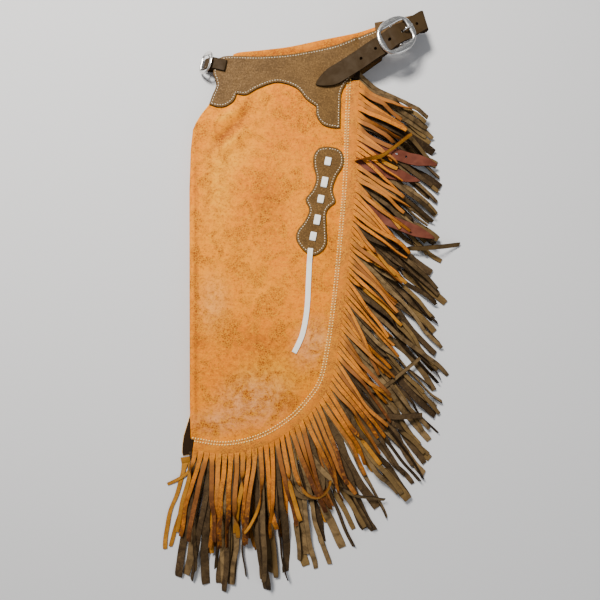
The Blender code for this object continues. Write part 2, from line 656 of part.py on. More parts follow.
def make_billet():
    places = BILLET_TIP + [(along, BELT_HALF_WIDTH) for along in BILLET_RINGS]
    path = [(belt_point(a, 0.0, billet_height(a)), w, BELT_ANGLE + math.pi / 2.0) for a, w in places]
    start = belt_point(BELT_LENGTH - 2.0, 0.0, 0.0)
    low = billet_height(BELT_LENGTH - 4.0)
    out = Vector((math.sin(FOLD_ANGLE), -math.cos(FOLD_ANGLE), 0.0))
    skew = BELT_HALF_WIDTH / math.cos(FOLD_ANGLE - BELT_ANGLE - math.pi / 2.0)
    centre = Vector((start.x, start.y, low - STRAP_FOLD_RADIUS))
    for turn in range(0, 181, 30):
        angle = math.radians(turn)
        spot = centre + (out * math.sin(angle) + UP * math.cos(angle)) * STRAP_FOLD_RADIUS
        path.append((spot, skew, FOLD_ANGLE))
    back = Vector((math.cos(RETURN_ANGLE), math.sin(RETURN_ANGLE), 0.0))
    bottom = centre - UP * STRAP_FOLD_RADIUS
    lining_top = YOKE_WALL + GAP + LINING_WALL + GAP
    for share in RETURN_SHARES:
        spot = bottom + back * RETURN_LENGTH * share
        rest = lining_top + under_lift(spot.x) + BELT_WALL / 2.0 + 0.5
        spot.z = bottom.z + (rest - bottom.z) * smooth(share * 1.25)
        path.append((spot, BELT_HALF_WIDTH, RETURN_ANGLE - math.pi / 2.0))
    stations = []
    for index, (spot, half_width, angle) in enumerate(path):
        across = Vector((math.cos(angle), math.sin(angle), 0.0))
        before, after = path[max(index - 1, 0)][0], path[min(index + 1, len(path) - 1)][0]
        normal = (after - before).cross(across).normalized()
        stations.append((spot, across * half_width, normal))
    item = ribbon("billet", stations, BELT_WALL, BELT_BROWN)
    towards = Vector((BELT_ALONG[0], BELT_ALONG[1], 0.0))
    for along in HOLES_AT + (TONGUE_HOLE_AT,):
        height = billet_height(along)
        low, high = (belt_point(along, 0.0, height + step) for step in (-4.0, 4.0))
        stretch = TONGUE_HOLE_STRETCH if along == TONGUE_HOLE_AT else 1.0
        cutter = rod("cutter", low, high, HOLE_RADIUS, 8, BELT_BROWN, stretch=stretch, towards=towards)
        boolean(item, cutter, "DIFFERENCE")


def superellipse(angle, a, b, power):
    """Distance of a rounded oval's outline from its middle."""
    return (abs(math.cos(angle) / a) ** power + abs(math.sin(angle) / b) ** power) ** (-1.0 / power)


def buckle_frame(name, place, sizes, bar, segments):
    """A wide oval ring with a rounded top and a bar across its middle.

    place(along, across, up) gives a point; sizes are the half lengths and widths of the
    outside and the window, and half the thickness; bar is a radius and its bent line.
    """
    out_a, out_b, in_a, in_b, half = sizes
    bar_radius, bar_line = bar
    bm = bmesh.new()
    rings = []
    for segment in range(segments):
        angle = 2.0 * math.pi * segment / segments
        inner = superellipse(angle, in_a, in_b, 10.0)
        outer = superellipse(angle, out_a, out_b, 2.25)
        width = outer - inner
        profile = [(inner, -half), (inner, half * 0.35), (inner + width * 0.25, half),
                   (outer - width * 0.35, half), (outer, -half * 0.1), (outer - width * 0.12, -half)]
        rings.append([bm.verts.new(place(r * math.cos(angle), r * math.sin(angle), up)) for r, up in profile])
    for index, ring in enumerate(rings):
        following = rings[(index + 1) % segments]
        for side in range(6):
            after = (side + 1) % 6
            bm.faces.new([ring[side], ring[after], following[after], following[side]])
    item = finish(name, bm, SILVER, 1.0, 0.2)
    along = place(1.0, 0.0, 0.0) - place(0.0, 0.0, 0.0)
    spots = [place(0.0, across, up) for across, up in bar_line]
    cross = sweep("bar", spots, bar_radius, 8, SILVER, along, 1.0)
    boolean(item, cross, "UNION")


def sweep(name, points, radius, sides, colour, across, tip=0.6):
    """A bent round wire in the plane that across stands on."""
    bm = bmesh.new()
    rings = []
    for index, point in enumerate(points):
        before, after = points[max(index - 1, 0)], points[min(index + 1, len(points) - 1)]
        normal = (after - before).cross(across).normalized()
        size = radius * (tip if index == len(points) - 1 else 1.0)
        rings.append([bm.verts.new(point + (across * math.cos(a) + normal * math.sin(a)) * size)
                      for a in (2.0 * math.pi * side / sides for side in range(sides))])
    for a, b in zip(rings, rings[1:]):
        for side in range(sides):
            following = (side + 1) % sides
            bm.faces.new([a[side], a[following], b[following], b[side]])
    bm.faces.new(rings[0])
    bm.faces.new(list(reversed(rings[-1])))
    return finish(name, bm, colour, 1.0, 0.25)


def make_belt_buckle():
    def place(along, across, up):
        spot = belt_point(BUCKLE_AT, 0.0, 0.0)
        shift = BELT_ALONG * along + BELT_ACROSS * across
        return Vector((spot.x + shift[0], spot.y + shift[1], BUCKLE_HEIGHT + up))

    sizes = (BUCKLE_HALF_LENGTH, BUCKLE_HALF_WIDTH, WINDOW_HALF_LENGTH, WINDOW_HALF_WIDTH,
             FRAME_HALF_THICKNESS)
    reach, drop = WINDOW_HALF_WIDTH + 4.0, BAR_HEIGHT - BUCKLE_HEIGHT
    buckle_frame("belt_buckle", place, sizes, (BAR_RADIUS, [(-reach, drop), (reach, drop)]), 32)

    hole = billet_height(TONGUE_HOLE_AT)
    rest = BUCKLE_HEIGHT + FRAME_HALF_THICKNESS + GAP + TONGUE_RADIUS
    ring = BAR_RADIUS + GAP + TONGUE_RADIUS
    points = [(BUCKLE_AT + math.cos(a) * ring, BAR_HEIGHT + math.sin(a) * ring)
              for a in (math.radians(turn) for turn in range(60, 301, 40))]
    # Down from the bar, up through the strap's hole and on to the far side of the ring
    points += [(BUCKLE_AT + 5.0, BAR_HEIGHT - 2.2), (TONGUE_HOLE_AT - 3.6, hole - 3.0),
               (TONGUE_HOLE_AT - 1.6, hole - 1.7), (TONGUE_HOLE_AT + 1.6, hole + 1.7),
               (TONGUE_HOLE_AT + 4.4, rest - 0.5), (BUCKLE_AT + 20.5, rest + 0.1), (BUCKLE_AT + 27.5, rest)]
    across = Vector((BELT_ACROSS[0], BELT_ACROSS[1], 0.0))
    sweep("belt_tongue", [belt_point(a, 0.0, z) for a, z in points], TONGUE_RADIUS, 6, SILVER, across)


CHAPE_HALF_WIDTH = 11.5
CHAPE_SHIFT = -3.0


def make_chape():
    """The loop that holds the buckle: from under the yoke's end, round the bar and back."""
    loop = BAR_RADIUS + GAP + 0.1 + CHAPE_WALL / 2.0
    under_yoke = YOKE_WALL / 2.0 + 2.0 * GAP + 0.3 + CHAPE_WALL / 2.0
    sides = (CHAPE_SHIFT - CHAPE_HALF_WIDTH, CHAPE_SHIFT, CHAPE_SHIFT + CHAPE_HALF_WIDTH)
    path = []
    for along in (98.0, 108.0, 118.0):
        over = [belt_point(along + step, side, 0.0) for step in (-8.0, 0.0, 8.0) for side in sides]
        path.append((along, min(yoke_middle(x, y) for x, y, _ in over) - under_yoke))
    path.append((127.0, BAR_HEIGHT - loop - 2.2))
    path += [(BUCKLE_AT + math.sin(a) * loop, BAR_HEIGHT - math.cos(a) * loop)
             for a in (math.radians(turn) for turn in range(0, 217, 36))]
    path.append((BUCKLE_AT - 7.0, BAR_HEIGHT - 0.2))
    stations = []
    spots = [belt_point(along, CHAPE_SHIFT, z) for along, z in path]
    across = Vector((BELT_ACROSS[0], BELT_ACROSS[1], 0.0))
    for index, spot in enumerate(spots):
        before, after = spots[max(index - 1, 0)], spots[min(index + 1, len(spots) - 1)]
        stations.append((spot, across * CHAPE_HALF_WIDTH, (after - before).cross(across).normalized()))
    item = ribbon("buckle_chape", stations, CHAPE_WALL, DARK_BROWN)
    # The tongue's slot
    start, end = (belt_point(BUCKLE_AT + step, 0.0, BAR_HEIGHT) for step in (-8.0, 8.0))
    boolean(item, rod("cutter", start, end, 2.8, 8, DARK_BROWN, stretch=2.8, towards=UP), "DIFFERENCE")


# The short front strap with its small buckle, round the folded side at the top

FRONT_HALF_WIDTH = 9.0
FRONT_WALL = 2.0
FRONT_HALF_THICKNESS = 1.5
# Half length and width of the small buckle's ring and of its window
FRONT_RING = (16.5, 19.0)
FRONT_WINDOW = (11.0, 12.5)
FRONT_BAR_RADIUS = 1.2
# The strap's sewn end on the top yoke, and its direction
FRONT_AT = (-138.0, 382.0)
FRONT_TURN = math.radians(-13.0)


def make_front_strap():
    """A strap from the top yoke round to the far one, with the buckle on its shoulder."""
    run = Vector((math.cos(FRONT_TURN), math.sin(FRONT_TURN), 0.0))
    side = UP.cross(run)
    top = yoke_middle(*FRONT_AT) + (YOKE_WALL + FRONT_WALL) / 2.0 + GAP + 0.2
    low = UNDER_MIDDLE + YOKE_WALL / 2.0 + GAP + FRONT_WALL / 2.0 + 0.2
    path = [(0.0, top), (-12.0, top), (-22.5, top), (-27.5, top - 3.0), (-37.0, top - 12.5)]
    path += [(-37.5, low + 3.2), (-35.0, low + 0.8), (-30.0, low), (-14.0, low)]
    spots = [Vector((*FRONT_AT, z)) + run * reach for reach, z in path]
    stations = []
    for index, spot in enumerate(spots):
        before, after = spots[max(index - 1, 0)], spots[min(index + 1, len(spots) - 1)]
        across = side * FRONT_HALF_WIDTH
        stations.append((spot, across, (after - before).cross(across).normalized()))
    ribbon("front_strap", stations, FRONT_WALL, BELT_BROWN)

    start, end = spots[3], spots[4]
    along = (end - start).normalized()
    out = side.cross(along).normalized()
    if out.x > 0.0:
        out = -out
    middle = (start + end) / 2.0 + out * (FRONT_WALL / 2.0 + GAP + FRONT_HALF_THICKNESS)

    def place(a, b, up):
        return middle + along * a + side * b + out * up

    # The bar dips below the strap, which passes over it
    drop = -(FRONT_HALF_THICKNESS + 2.0 * GAP + FRONT_WALL + FRONT_BAR_RADIUS)
    bar = [(-14.5, 0.2), (-12.5, drop * 0.45), (-10.6, drop), (10.6, drop), (12.5, drop * 0.45), (14.5, 0.2)]
    buckle_frame("front_buckle", place, (*FRONT_RING, *FRONT_WINDOW, FRONT_HALF_THICKNESS),
                 (FRONT_BAR_RADIUS, bar), 24)


# The fringe: strips of strands, each strand laid on what lies there already

class Pile:
    """Height of all that has been laid, on a fine grid over the surface."""

    CELL = 0.5
    LOW = (-340.0, -540.0)
    SIZE = (1360, 2040)

    def __init__(self):
        self.heights = np.zeros(self.SIZE)

    def top(self, points):
        index = np.round((points - np.array(self.LOW)) / self.CELL).astype(int)
        index = np.clip(index, 0, np.array(self.SIZE) - 1)
        return self.heights[index[:, 0], index[:, 1]]

    def mark(self, start, end, half_start, half_end, top_start, top_end):
        """Raise the cells under one length of strand, a little wider than it is."""
        grow = 0.45
        corners = np.array([start - half_start, end - half_end, end + half_end, start + half_start])
        low = np.floor((corners.min(axis=0) - 1.0 - self.LOW) / self.CELL).astype(int)
        high = np.ceil((corners.max(axis=0) + 1.0 - self.LOW) / self.CELL).astype(int)
        xs = np.arange(low[0], high[0] + 1)
        ys = np.arange(low[1], high[1] + 1)
        cells = np.stack(np.meshgrid(xs, ys, indexing="ij"), axis=-1) * self.CELL + np.array(self.LOW)
        inside = np.ones(cells.shape[:2], dtype=bool)
        turn = 0.0
        for a, b in zip(corners, np.roll(corners, -1, axis=0)):
            turn += a[0] * b[1] - a[1] * b[0]
        sign = 1.0 if turn > 0.0 else -1.0
        for a, b in zip(corners, np.roll(corners, -1, axis=0)):
            run = (b - a) / np.linalg.norm(b - a)
            inside &= sign * (run[0] * (cells[..., 1] - a[1]) - run[1] * (cells[..., 0] - a[0])) > -grow
        run = end - start
        half = (half_start + half_end) / 2.0
        area = run[0] * half[1] - run[1] * half[0]
        away = cells - start
        share = np.clip((away[..., 0] * half[1] - away[..., 1] * half[0]) / area, 0.0, 1.0)
        heights = top_start + (top_end - top_start) * share
        window = self.heights[xs[0]:xs[-1] + 1, ys[0]:ys[-1] + 1]
        window[inside] = np.maximum(window[inside], heights[inside])


PILE = Pile()


def settle(centres, halves, first, thickness, reach):
    """Heights of a strand's rings: as low as it can lie, and clear of the pile below."""
    clear = 0.4 + thickness / 2.0
    heights = [first]
    for index in range(1, len(centres)):
        fallen = smooth(reach[index] / DROOP_LENGTH)
        heights.append(max(clear, first * (1.0 - fallen) + clear * fallen))
    across = np.array([-1.0, -0.5, 0.0, 0.5, 1.0])
    for index in range(len(centres) - 1):
        length = float(np.linalg.norm(centres[index + 1] - centres[index]))
        shares = np.linspace(0.0, 1.0, max(3, round(length / 2.0)))
        middles = centres[index] + (centres[index + 1] - centres[index]) * shares[:, None]
        halves_there = halves[index] + (halves[index + 1] - halves[index]) * shares[:, None]
        points = middles[:, None, :] + halves_there[:, None, :] * across[None, :, None]
        tops = PILE.top(points.reshape(-1, 2)).reshape(len(shares), -1).max(axis=1)
        if index == 0:
            late = shares > 0.22
            needs = first + (tops[late] + clear - first) / shares[late]
            heights[1] = max(heights[1], float(needs.max()))
        else:
            need = float(tops.max()) + clear
            heights[index] = max(heights[index], need)
            heights[index + 1] = max(heights[index + 1], need)
    for index in range(len(centres) - 1):
        PILE.mark(centres[index], centres[index + 1], halves[index], halves[index + 1],
                  heights[index] + thickness / 2.0, heights[index + 1] + thickness / 2.0)
    return heights


def strand_path(root, strand, tangent, half_width):
    """Middles and half widths of one strand's rings, seen from above."""
    length = strand["length"]
    reach = [0.0] + [ring for ring in strand["rings"] if ring < length - SHORTEST_END] + [length]

    def heading(travelled):
        bend = lookup(strand["bends"], travelled / length)
        return math.radians(strand["heading"] + bend * smooth((travelled - STILL_LENGTH) / EASING_LENGTH))

    centres, halves = [], []
    position = np.array(root)
    travelled = 0.0
    mirror = 1.0
    for ring in reach:
        while travelled < ring:
            step = min(4.0, ring - travelled)
            angle = heading(travelled)
            position = position + np.array([math.cos(angle), math.sin(angle)]) * step
            travelled += step
        angle = heading(ring)
        square = np.array([math.sin(angle), -math.cos(angle)])
        if ring == 0.0 and float(np.dot(square, tangent)) < 0.0:
            mirror = -1.0
        square = square * mirror
        # A sheared root keeps the strand's share of the edge; further out it is square
        share = smooth((ring - ROOT_LENGTH) / 60.0)
        side = tangent * (1.0 - share) + square * share
        side = side / np.linalg.norm(side)
        width = half_width * (1.0 - share + share * max(0.72, abs(float(np.dot(square, tangent)))))
        centres.append(position.copy())
        halves.append(side * width)
    return reach, centres, halves


def clump_leans(fringe, draw):
    """Degrees that each strand leans: a few neighbours close up, and clump parts from clump."""
    leans = []
    while len(leans) < fringe.count:
        size = draw.randint(2, 5)
        whole = draw.uniform(-CLUMP_SWAY, CLUMP_SWAY) * fringe.curl
        pull = draw.uniform(0.4, 1.0) * CLUMP_PULL * fringe.curl
        leans += [whole + pull * (number - (size - 1) / 2.0) for number in range(size)]
    return leans[:fringe.count]


def plan_strands(fringe, edge, pitch, draw):
    """Where each strand of a fringe starts, which way it goes and how long it is."""
    strands = []
    for number, lean in enumerate(clump_leans(fringe, draw)):
        middle = edge.total * fringe.first + (number + 0.5) * pitch
        share = middle / edge.total
        turn = draw.uniform(-1.0, 1.0) * fringe.curl * (CORNER_TURN if share > CORNER_SHARE else 1.0)
        strands.append({
            "middle": middle,
            "bends": [(0.04, 0.0), (0.25, lean), (0.60, (lean + turn) * 0.5), (1.0, lean * 0.2 + turn)],
            "length": fringe.length * lookup(fringe.lengths, share) * draw.uniform(0.90, 1.06),
            "heading": lookup(HEADINGS, share),
            "rings": RINGS_AT,
        })
    for stray in STRAYS:
        if stray.fringe == fringe.name:
            strand = strands[min(int(stray.share * fringe.count), fringe.count - 1)]
            strand["bends"], strand["length"], strand["rings"] = stray.bends, stray.length, STRAY_RINGS_AT
    return strands


def make_fringe(fringe, edge, lifted):
    """One strip with all its strands as a single body."""
    draw = random.Random(fringe.seed)
    pitch = edge.total * (fringe.last - fringe.first) / fringe.count
    half_width = pitch * STRAND_FILL / 2.0
    half = STRAND_WALL / 2.0
    strands = plan_strands(fringe, edge, pitch, draw)

    def height(spot):
        return fringe.middle + (belt_lift(spot[0], spot[1]) if lifted else 0.0)

    bm = bmesh.new()
    stations = []
    for strand in strands:
        for side in (-1.0, 1.0):
            distance = strand["middle"] + side * half_width
            ring = []
            for offset in (fringe.inner, fringe.outer):
                spot = edge.offset(distance, offset)
                z = height(spot)
                ring.append([bm.verts.new((spot[0], spot[1], level)) for level in (z + half, z - half)])
            stations.append(ring)
    for index in range(len(stations) - 1):
        a, b = stations[index], stations[index + 1]
        bm.faces.new([a[0][0], b[0][0], b[1][0], a[1][0]])
        bm.faces.new([a[1][1], b[1][1], b[0][1], a[0][1]])
        bm.faces.new([a[0][0], a[0][1], b[0][1], b[0][0]])
        if index % 2 == 1:
            bm.faces.new([a[1][0], b[1][0], b[1][1], a[1][1]])
    for ring in (stations[0], stations[-1]):
        bm.faces.new([ring[0][0], ring[1][0], ring[1][1], ring[0][1]])

    # Laid in a random order, the stray ones last
    order = draw.sample(range(fringe.count), fringe.count)
    order.sort(key=lambda number: strands[number]["rings"] is STRAY_RINGS_AT)
    for number in order:
        strand = strands[number]
        low, high = stations[2 * number][1], stations[2 * number + 1][1]
        root = (np.array(low[0].co.xy) + np.array(high[0].co.xy)) / 2.0
        along = np.array(high[0].co.xy) - np.array(low[0].co.xy)
        root_half = float(np.linalg.norm(along)) / 2.0
        reach, centres, halves = strand_path(root, strand, along / np.linalg.norm(along), root_half)
        first_height = (low[0].co.z + high[0].co.z) / 2.0 - half
        heights = settle(centres, halves, first_height, STRAND_WALL, reach)
        previous = [low[0], high[0], high[1], low[1]]
        for middle, side, z in list(zip(centres, halves, heights))[1:]:
            ring = [bm.verts.new((middle[0] + a * side[0], middle[1] + a * side[1], z + b * half))
                    for a, b in ((-1, 1), (1, 1), (1, -1), (-1, -1))]
            for corner in range(4):
                following = (corner + 1) % 4
                bm.faces.new([previous[corner], previous[following], ring[following], ring[corner]])
            previous = ring
        bm.faces.new(previous)
    finish(fringe.name, bm, fringe.colour)


def make_leg_straps():
    """Pointed straps that run out from under the edge and lie on the dark strands."""
    half = STRAP_WALL / 2.0
    for strap in LEG_STRAPS:
        start, end = np.array([strap.x0, strap.y0]), np.array([strap.x1, strap.y1])
        length = float(np.linalg.norm(end - start))
        along = (end - start) / length
        side = np.array([-along[1], along[0]])
        # Distances along the strap and its half width there, with a pointed end
        reach = [0.0, 35.0, 60.0, 86.0, length - 30.0, length - 12.0, length]
        widths = [1.0, 1.0, 1.0, 1.0, 1.0, 0.72, 0.12]
        centres = [start + along * r for r in reach]
        halves = [side * LEG_STRAP_HALF_WIDTH * w for w in widths]
        heights = settle(centres[1:], halves[1:], LEG_STRAP_MIDDLE + LEG_STRAP_EASE, STRAP_WALL, reach[1:])
        stations = [(Vector((c[0], c[1], z)), Vector((h[0], h[1], 0.0)), UP)
                    for c, h, z in zip(centres, halves, [LEG_STRAP_MIDDLE] + heights)]
        item = ribbon(strap.name, stations, STRAP_WALL, OXBLOOD)
        for share in strap.holes:
            spot = start + along * length * share
            low, high = (Vector((spot[0], spot[1], z)) for z in (-5.0, 40.0))
            boolean(item, rod("cutter", low, high, 1.8, 8, OXBLOOD), "DIFFERENCE")


def main():
    for item in list(bpy.data.objects):
        bpy.data.objects.remove(item)
    make_legs()
    make_folded_layers()
    make_yokes()
    make_overlay()
    make_lace_tail()
    make_billet()
    make_belt_buckle()
    make_chape()
    make_front_strap()
    caramel_under, dark_under, dark, caramel = FRINGES
    make_fringe(caramel_under, UNDER_EDGE, lifted=False)
    make_fringe(dark_under, UNDER_EDGE, lifted=False)
    make_fringe(dark, TOP_EDGE, lifted=True)
    make_leg_straps()
    make_fringe(caramel, TOP_EDGE, lifted=True)


main()
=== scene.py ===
"""The folded leather chaps as they look: fine leather shells, sewing, fringe and buckles.

Lengths in the tables are millimetres, in the part's own frame: +X is the fringed side,
+Y is the belt, +Z is up from the surface that the chaps lie on.
"""
import math
import random
from collections import namedtuple

import bmesh
import bpy
import numpy as np
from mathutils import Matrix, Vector, noise


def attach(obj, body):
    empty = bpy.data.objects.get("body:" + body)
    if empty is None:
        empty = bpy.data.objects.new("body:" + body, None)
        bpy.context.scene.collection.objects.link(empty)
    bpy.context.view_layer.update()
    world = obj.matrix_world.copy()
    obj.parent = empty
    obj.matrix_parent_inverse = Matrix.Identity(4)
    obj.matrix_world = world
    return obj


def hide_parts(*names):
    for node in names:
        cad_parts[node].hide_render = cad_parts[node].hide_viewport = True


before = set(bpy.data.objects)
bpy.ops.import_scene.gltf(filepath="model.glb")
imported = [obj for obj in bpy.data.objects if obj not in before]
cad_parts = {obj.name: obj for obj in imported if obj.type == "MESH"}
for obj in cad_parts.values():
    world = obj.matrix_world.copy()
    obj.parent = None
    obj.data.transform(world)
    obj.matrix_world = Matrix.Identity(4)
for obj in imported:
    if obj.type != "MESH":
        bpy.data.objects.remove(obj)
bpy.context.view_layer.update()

MM = 0.001
GAP = 0.3
SEAM = 0.45
UP = Vector((0.0, 0.0, 1.0))
BODY = "root"

# Leather thicknesses
LEG_WALL = 2.0
YOKE_WALL = 2.0
LINING_WALL = 1.8
BELT_WALL = 2.4
CHAPE_WALL = 1.6
LACE_WALL = 1.2
STRAND_WALL = 1.6
STRAP_WALL = 1.8
FRONT_WALL = 2.0

# Heights of each layer's middle where the stack is thinnest, along the fringed edge
UNDER_MIDDLE = 1.0
CARAMEL_UNDER_MIDDLE = 1.2
DARK_UNDER_MIDDLE = 3.8
DARK_MIDDLE = 6.4
LEG_STRAP_MIDDLE = 8.35
HEM_MIDDLE = 10.4
LEG_MIDDLE = 15.0
HEM_SLOPE = 70.0

# The fringed edge of the top leg, from the belt down and round to the folded side
HEM_EDGE = [
    (68.5, 374.6), (65.0, 280.6), (62.1, 199.5), (54.8, 110.4), (45.8, 18.0), (34.5, -68.0),
    (21.5, -127.9), (-1.2, -162.8), (-33.6, -195.2), (-82.2, -223.6), (-140.6, -236.2),
    (-196.0, -229.3),
]
UNDER_SHIFT = (2.0, -3.0)
UNDER_CORNER = (-212.0, -252.0)

FOLD_LINE = [(-240.0, -197.0), (-158.0, -198.5), (184.0, -199.0), (250.0, -196.8), (286.0, -192.7)]
FOLD_RADIUS = 5.0
FOLD_RETURN = 14.0
FOLD_RETURN_MIDDLE = 6.1

# Direction in degrees in which the strands leave the edge, by the share of the edge passed
HEADINGS = [
    (0.00, -31.0), (0.12, -35.0), (0.25, -40.0), (0.40, -46.0), (0.55, -51.0),
    (0.68, -56.0), (0.75, -70.0), (0.81, -82.0), (0.89, -90.0), (0.95, -96.0), (1.01, -105.0),
]
# Share of the full length, by the share of the edge passed
CARAMEL_LENGTHS = [(0.00, 0.64), (0.06, 0.62), (0.09, 0.52), (0.14, 0.52), (0.18, 0.70), (0.35, 0.78),
                   (0.60, 0.90), (0.80, 1.02)]
DARK_LENGTHS = [(0.00, 0.64), (0.10, 0.78), (0.22, 0.82), (0.32, 0.92), (0.42, 1.04), (0.55, 1.12),
                (0.64, 1.12), (0.70, 1.04), (0.76, 1.04), (0.80, 1.12), (0.88, 1.10), (0.94, 1.02)]
# How much the strands' ends are burnt, by the share of the edge passed
BURNING = [(0.40, 0.15), (0.66, 1.25)]
CORNER_SHARE = 0.97
CORNER_TURN = 0.35
# Neighbours lean together in clumps of a few strands: each strand, and a whole clump, as
# shares of the fringe's curl
CLUMP_PULL = 0.64
CLUMP_SWAY = 0.55

Crease = namedtuple("Crease", "x0 y0 x1 y1 half_width height")
CREASES = [
    Crease(-96.0, 316.0, -172.0, 244.0, 13.0, -3.2),
    Crease(-100.0, 324.0, -172.0, 284.0, 12.0, 2.4),
    Crease(-88.0, 290.0, -162.0, 238.0, 14.0, 2.2),
    Crease(-60.0, 300.0, 10.0, 250.0, 22.0, 1.0),
    Crease(-170.0, 60.0, -40.0, 20.0, 30.0, -1.0),
    Crease(-150.0, -120.0, -30.0, -60.0, 34.0, 1.0),
]
# How far the leather waves between its creases
RIPPLES = [(95.0, 0.55), (40.0, 0.22)]

# The belt
BELT_START = (6.7, 351.6)
BELT_END = (176.9, 447.4)
BELT_BOW = -3.0
BELT_HALF_WIDTH = 15.0
BUCKLE_AT = 142.5
BUCKLE_HEIGHT = 41.0
BUCKLE_HALF_LENGTH = 30.2
BUCKLE_HALF_WIDTH = 28.6
WINDOW_HALF_LENGTH = 21.0
WINDOW_HALF_WIDTH = 17.4
FRAME_HALF_THICKNESS = 2.2
BAR_HEIGHT = 37.4
BAR_RADIUS = 1.9
TONGUE_RADIUS = 1.4
HOLES_AT = (80.0, 105.0, 130.0, 181.0)
TONGUE_HOLE_AT = 154.6
HOLE_RADIUS = 2.4
BELT_LIFT = 20.0
BELT_LIFT_START = 20.0
BELT_LIFT_LENGTH = 110.0
FOLD_ANGLE = math.radians(107.0)
STRAP_FOLD_RADIUS = 4.6
RETURN_ANGLE = math.radians(184.5)
RETURN_LENGTH = 72.0

FRONT_HALF_WIDTH = 9.0
FRONT_HALF_THICKNESS = 1.5
FRONT_RING = (16.5, 19.0)
FRONT_WINDOW = (11.0, 12.5)
FRONT_BAR_RADIUS = 1.2
FRONT_AT = (-138.0, 382.0)
FRONT_TURN = math.radians(-13.0)

Fringe = namedtuple("Fringe", "name count first last inner outer middle length lengths curl seed")
CARAMEL_UNDER = Fringe("fringe_caramel_under", 34, 0.50, 1.005, 2.0, 12.0, CARAMEL_UNDER_MIDDLE, 150.0,
                       CARAMEL_LENGTHS, 12.0, 4)
DARK_UNDER = Fringe("fringe_dark_under", 54, 0.01, 0.985, -6.0, 9.0, DARK_UNDER_MIDDLE, 205.0,
                    DARK_LENGTHS, 9.0, 12)
DARK = Fringe("fringe_dark", 72, 0.00, 0.975, -6.0, 9.0, DARK_MIDDLE, 205.0, DARK_LENGTHS, 8.0, 23)
CARAMEL = Fringe("fringe_caramel", 80, 0.02, 0.995, -8.0, 9.0, HEM_MIDDLE, 145.0, CARAMEL_LENGTHS, 11.0, 31)

# Strands that lie well out of line: fringe, share of its strands, length, the share of that
# length where it turns over (above 1 never), and its bends in degrees at shares of the length
Stray = namedtuple("Stray", "fringe share length flip bends")
STRAYS = [
    Stray("fringe_dark", 0.60, 180.0, 2.0, [(0.4, 0.0), (0.60, 88.0), (1.0, 94.0)]),
    Stray("fringe_dark", 0.66, 175.0, 2.0, [(0.35, 0.0), (0.55, 52.0), (1.0, 56.0)]),
    Stray("fringe_dark", 0.32, 190.0, 0.5, [(0.1, 0.0), (0.5, 38.0), (0.9, 52.0)]),
    Stray("fringe_dark", 0.78, 200.0, 0.6, [(0.1, 0.0), (0.9, 62.0)]),
    Stray("fringe_dark", 0.84, 205.0, 2.0,
          [(0.1, 0.0), (0.45, 30.0), (0.6, 90.0), (0.8, 190.0), (1.0, 265.0)]),
    Stray("fringe_caramel_under", 0.90, 118.0, 2.0, [(0.1, 0.0), (0.4, -18.0), (1.0, 8.0)]),
    Stray("fringe_caramel_under", 0.96, 58.0, 2.0, [(0.15, 0.0), (0.45, -42.0), (1.0, -56.0)]),
    Stray("fringe_caramel", 0.172, 96.0, 0.06,
          [(0.0, 0.0), (0.10, 36.0), (0.35, 44.0), (0.5, 74.0), (1.0, 72.0)]),
    Stray("fringe_caramel", 0.79, 155.0, 0.55, [(0.35, 0.0), (0.6, 20.0), (0.8, 90.0), (1.0, 165.0)]),
    Stray("fringe_caramel", 0.86, 138.0, 0.5, [(0.3, 0.0), (0.6, -10.0), (0.8, -30.0), (1.0, -42.0)]),
]

LegStrap = namedtuple("LegStrap", "name x0 y0 x1 y1 holes")
LEG_STRAPS = [
    LegStrap("leg_strap_1", 46.0, 262.0, 205.0, 224.0, (0.57, 0.67)),
    LegStrap("leg_strap_2", 44.0, 236.0, 176.0, 198.0, ()),
    LegStrap("leg_strap_3", 44.0, 170.0, 197.0, 103.0, ()),
]
LEG_STRAP_HALF_WIDTH = 9.5

OVERLAY = [
    (27.6, 253.2), (38.8, 251.6), (47.7, 246.8), (52.0, 236.0), (50.5, 222.0), (39.6, 203.4),
    (34.0, 183.0), (38.8, 164.9), (28.4, 154.4), (23.6, 144.8), (24.0, 120.0), (24.4, 98.2),
    (18.0, 85.3), (5.1, 77.3), (-7.8, 80.5), (-19.0, 91.0), (-25.4, 103.0), (-23.0, 117.5),
    (-12.0, 132.0), (-4.4, 150.0), (-10.2, 167.3), (1.0, 183.0), (6.7, 201.0), (3.0, 220.0),
    (2.4, 236.0), (7.5, 246.5), (14.7, 251.5),
]
# Middle and half length of each bit of lace on the thigh piece
LACE_BITS = [(26.0, 229.0, 6.8), (20.5, 195.3, 8.6), (14.4, 167.9, 6.6), (8.6, 134.5, 8.2), (2.1, 107.7, 7.2)]
LACE_HALF_WIDTH = 5.0
LACE_TAIL = [
    (-2.0, 88.5), (-2.8, 80.0), (-3.5, 71.0), (-4.6, 50.0), (-5.6, 28.0), (-6.6, 5.0), (-9.0, -20.0),
    (-14.5, -48.0), (-21.5, -66.0), (-28.6, -80.0),
]
LACE_TAIL_HALF_WIDTH = 4.2
# Where the lace's free end comes down from the thigh piece on to the leg
LACE_STEP = (64.0, 76.0)

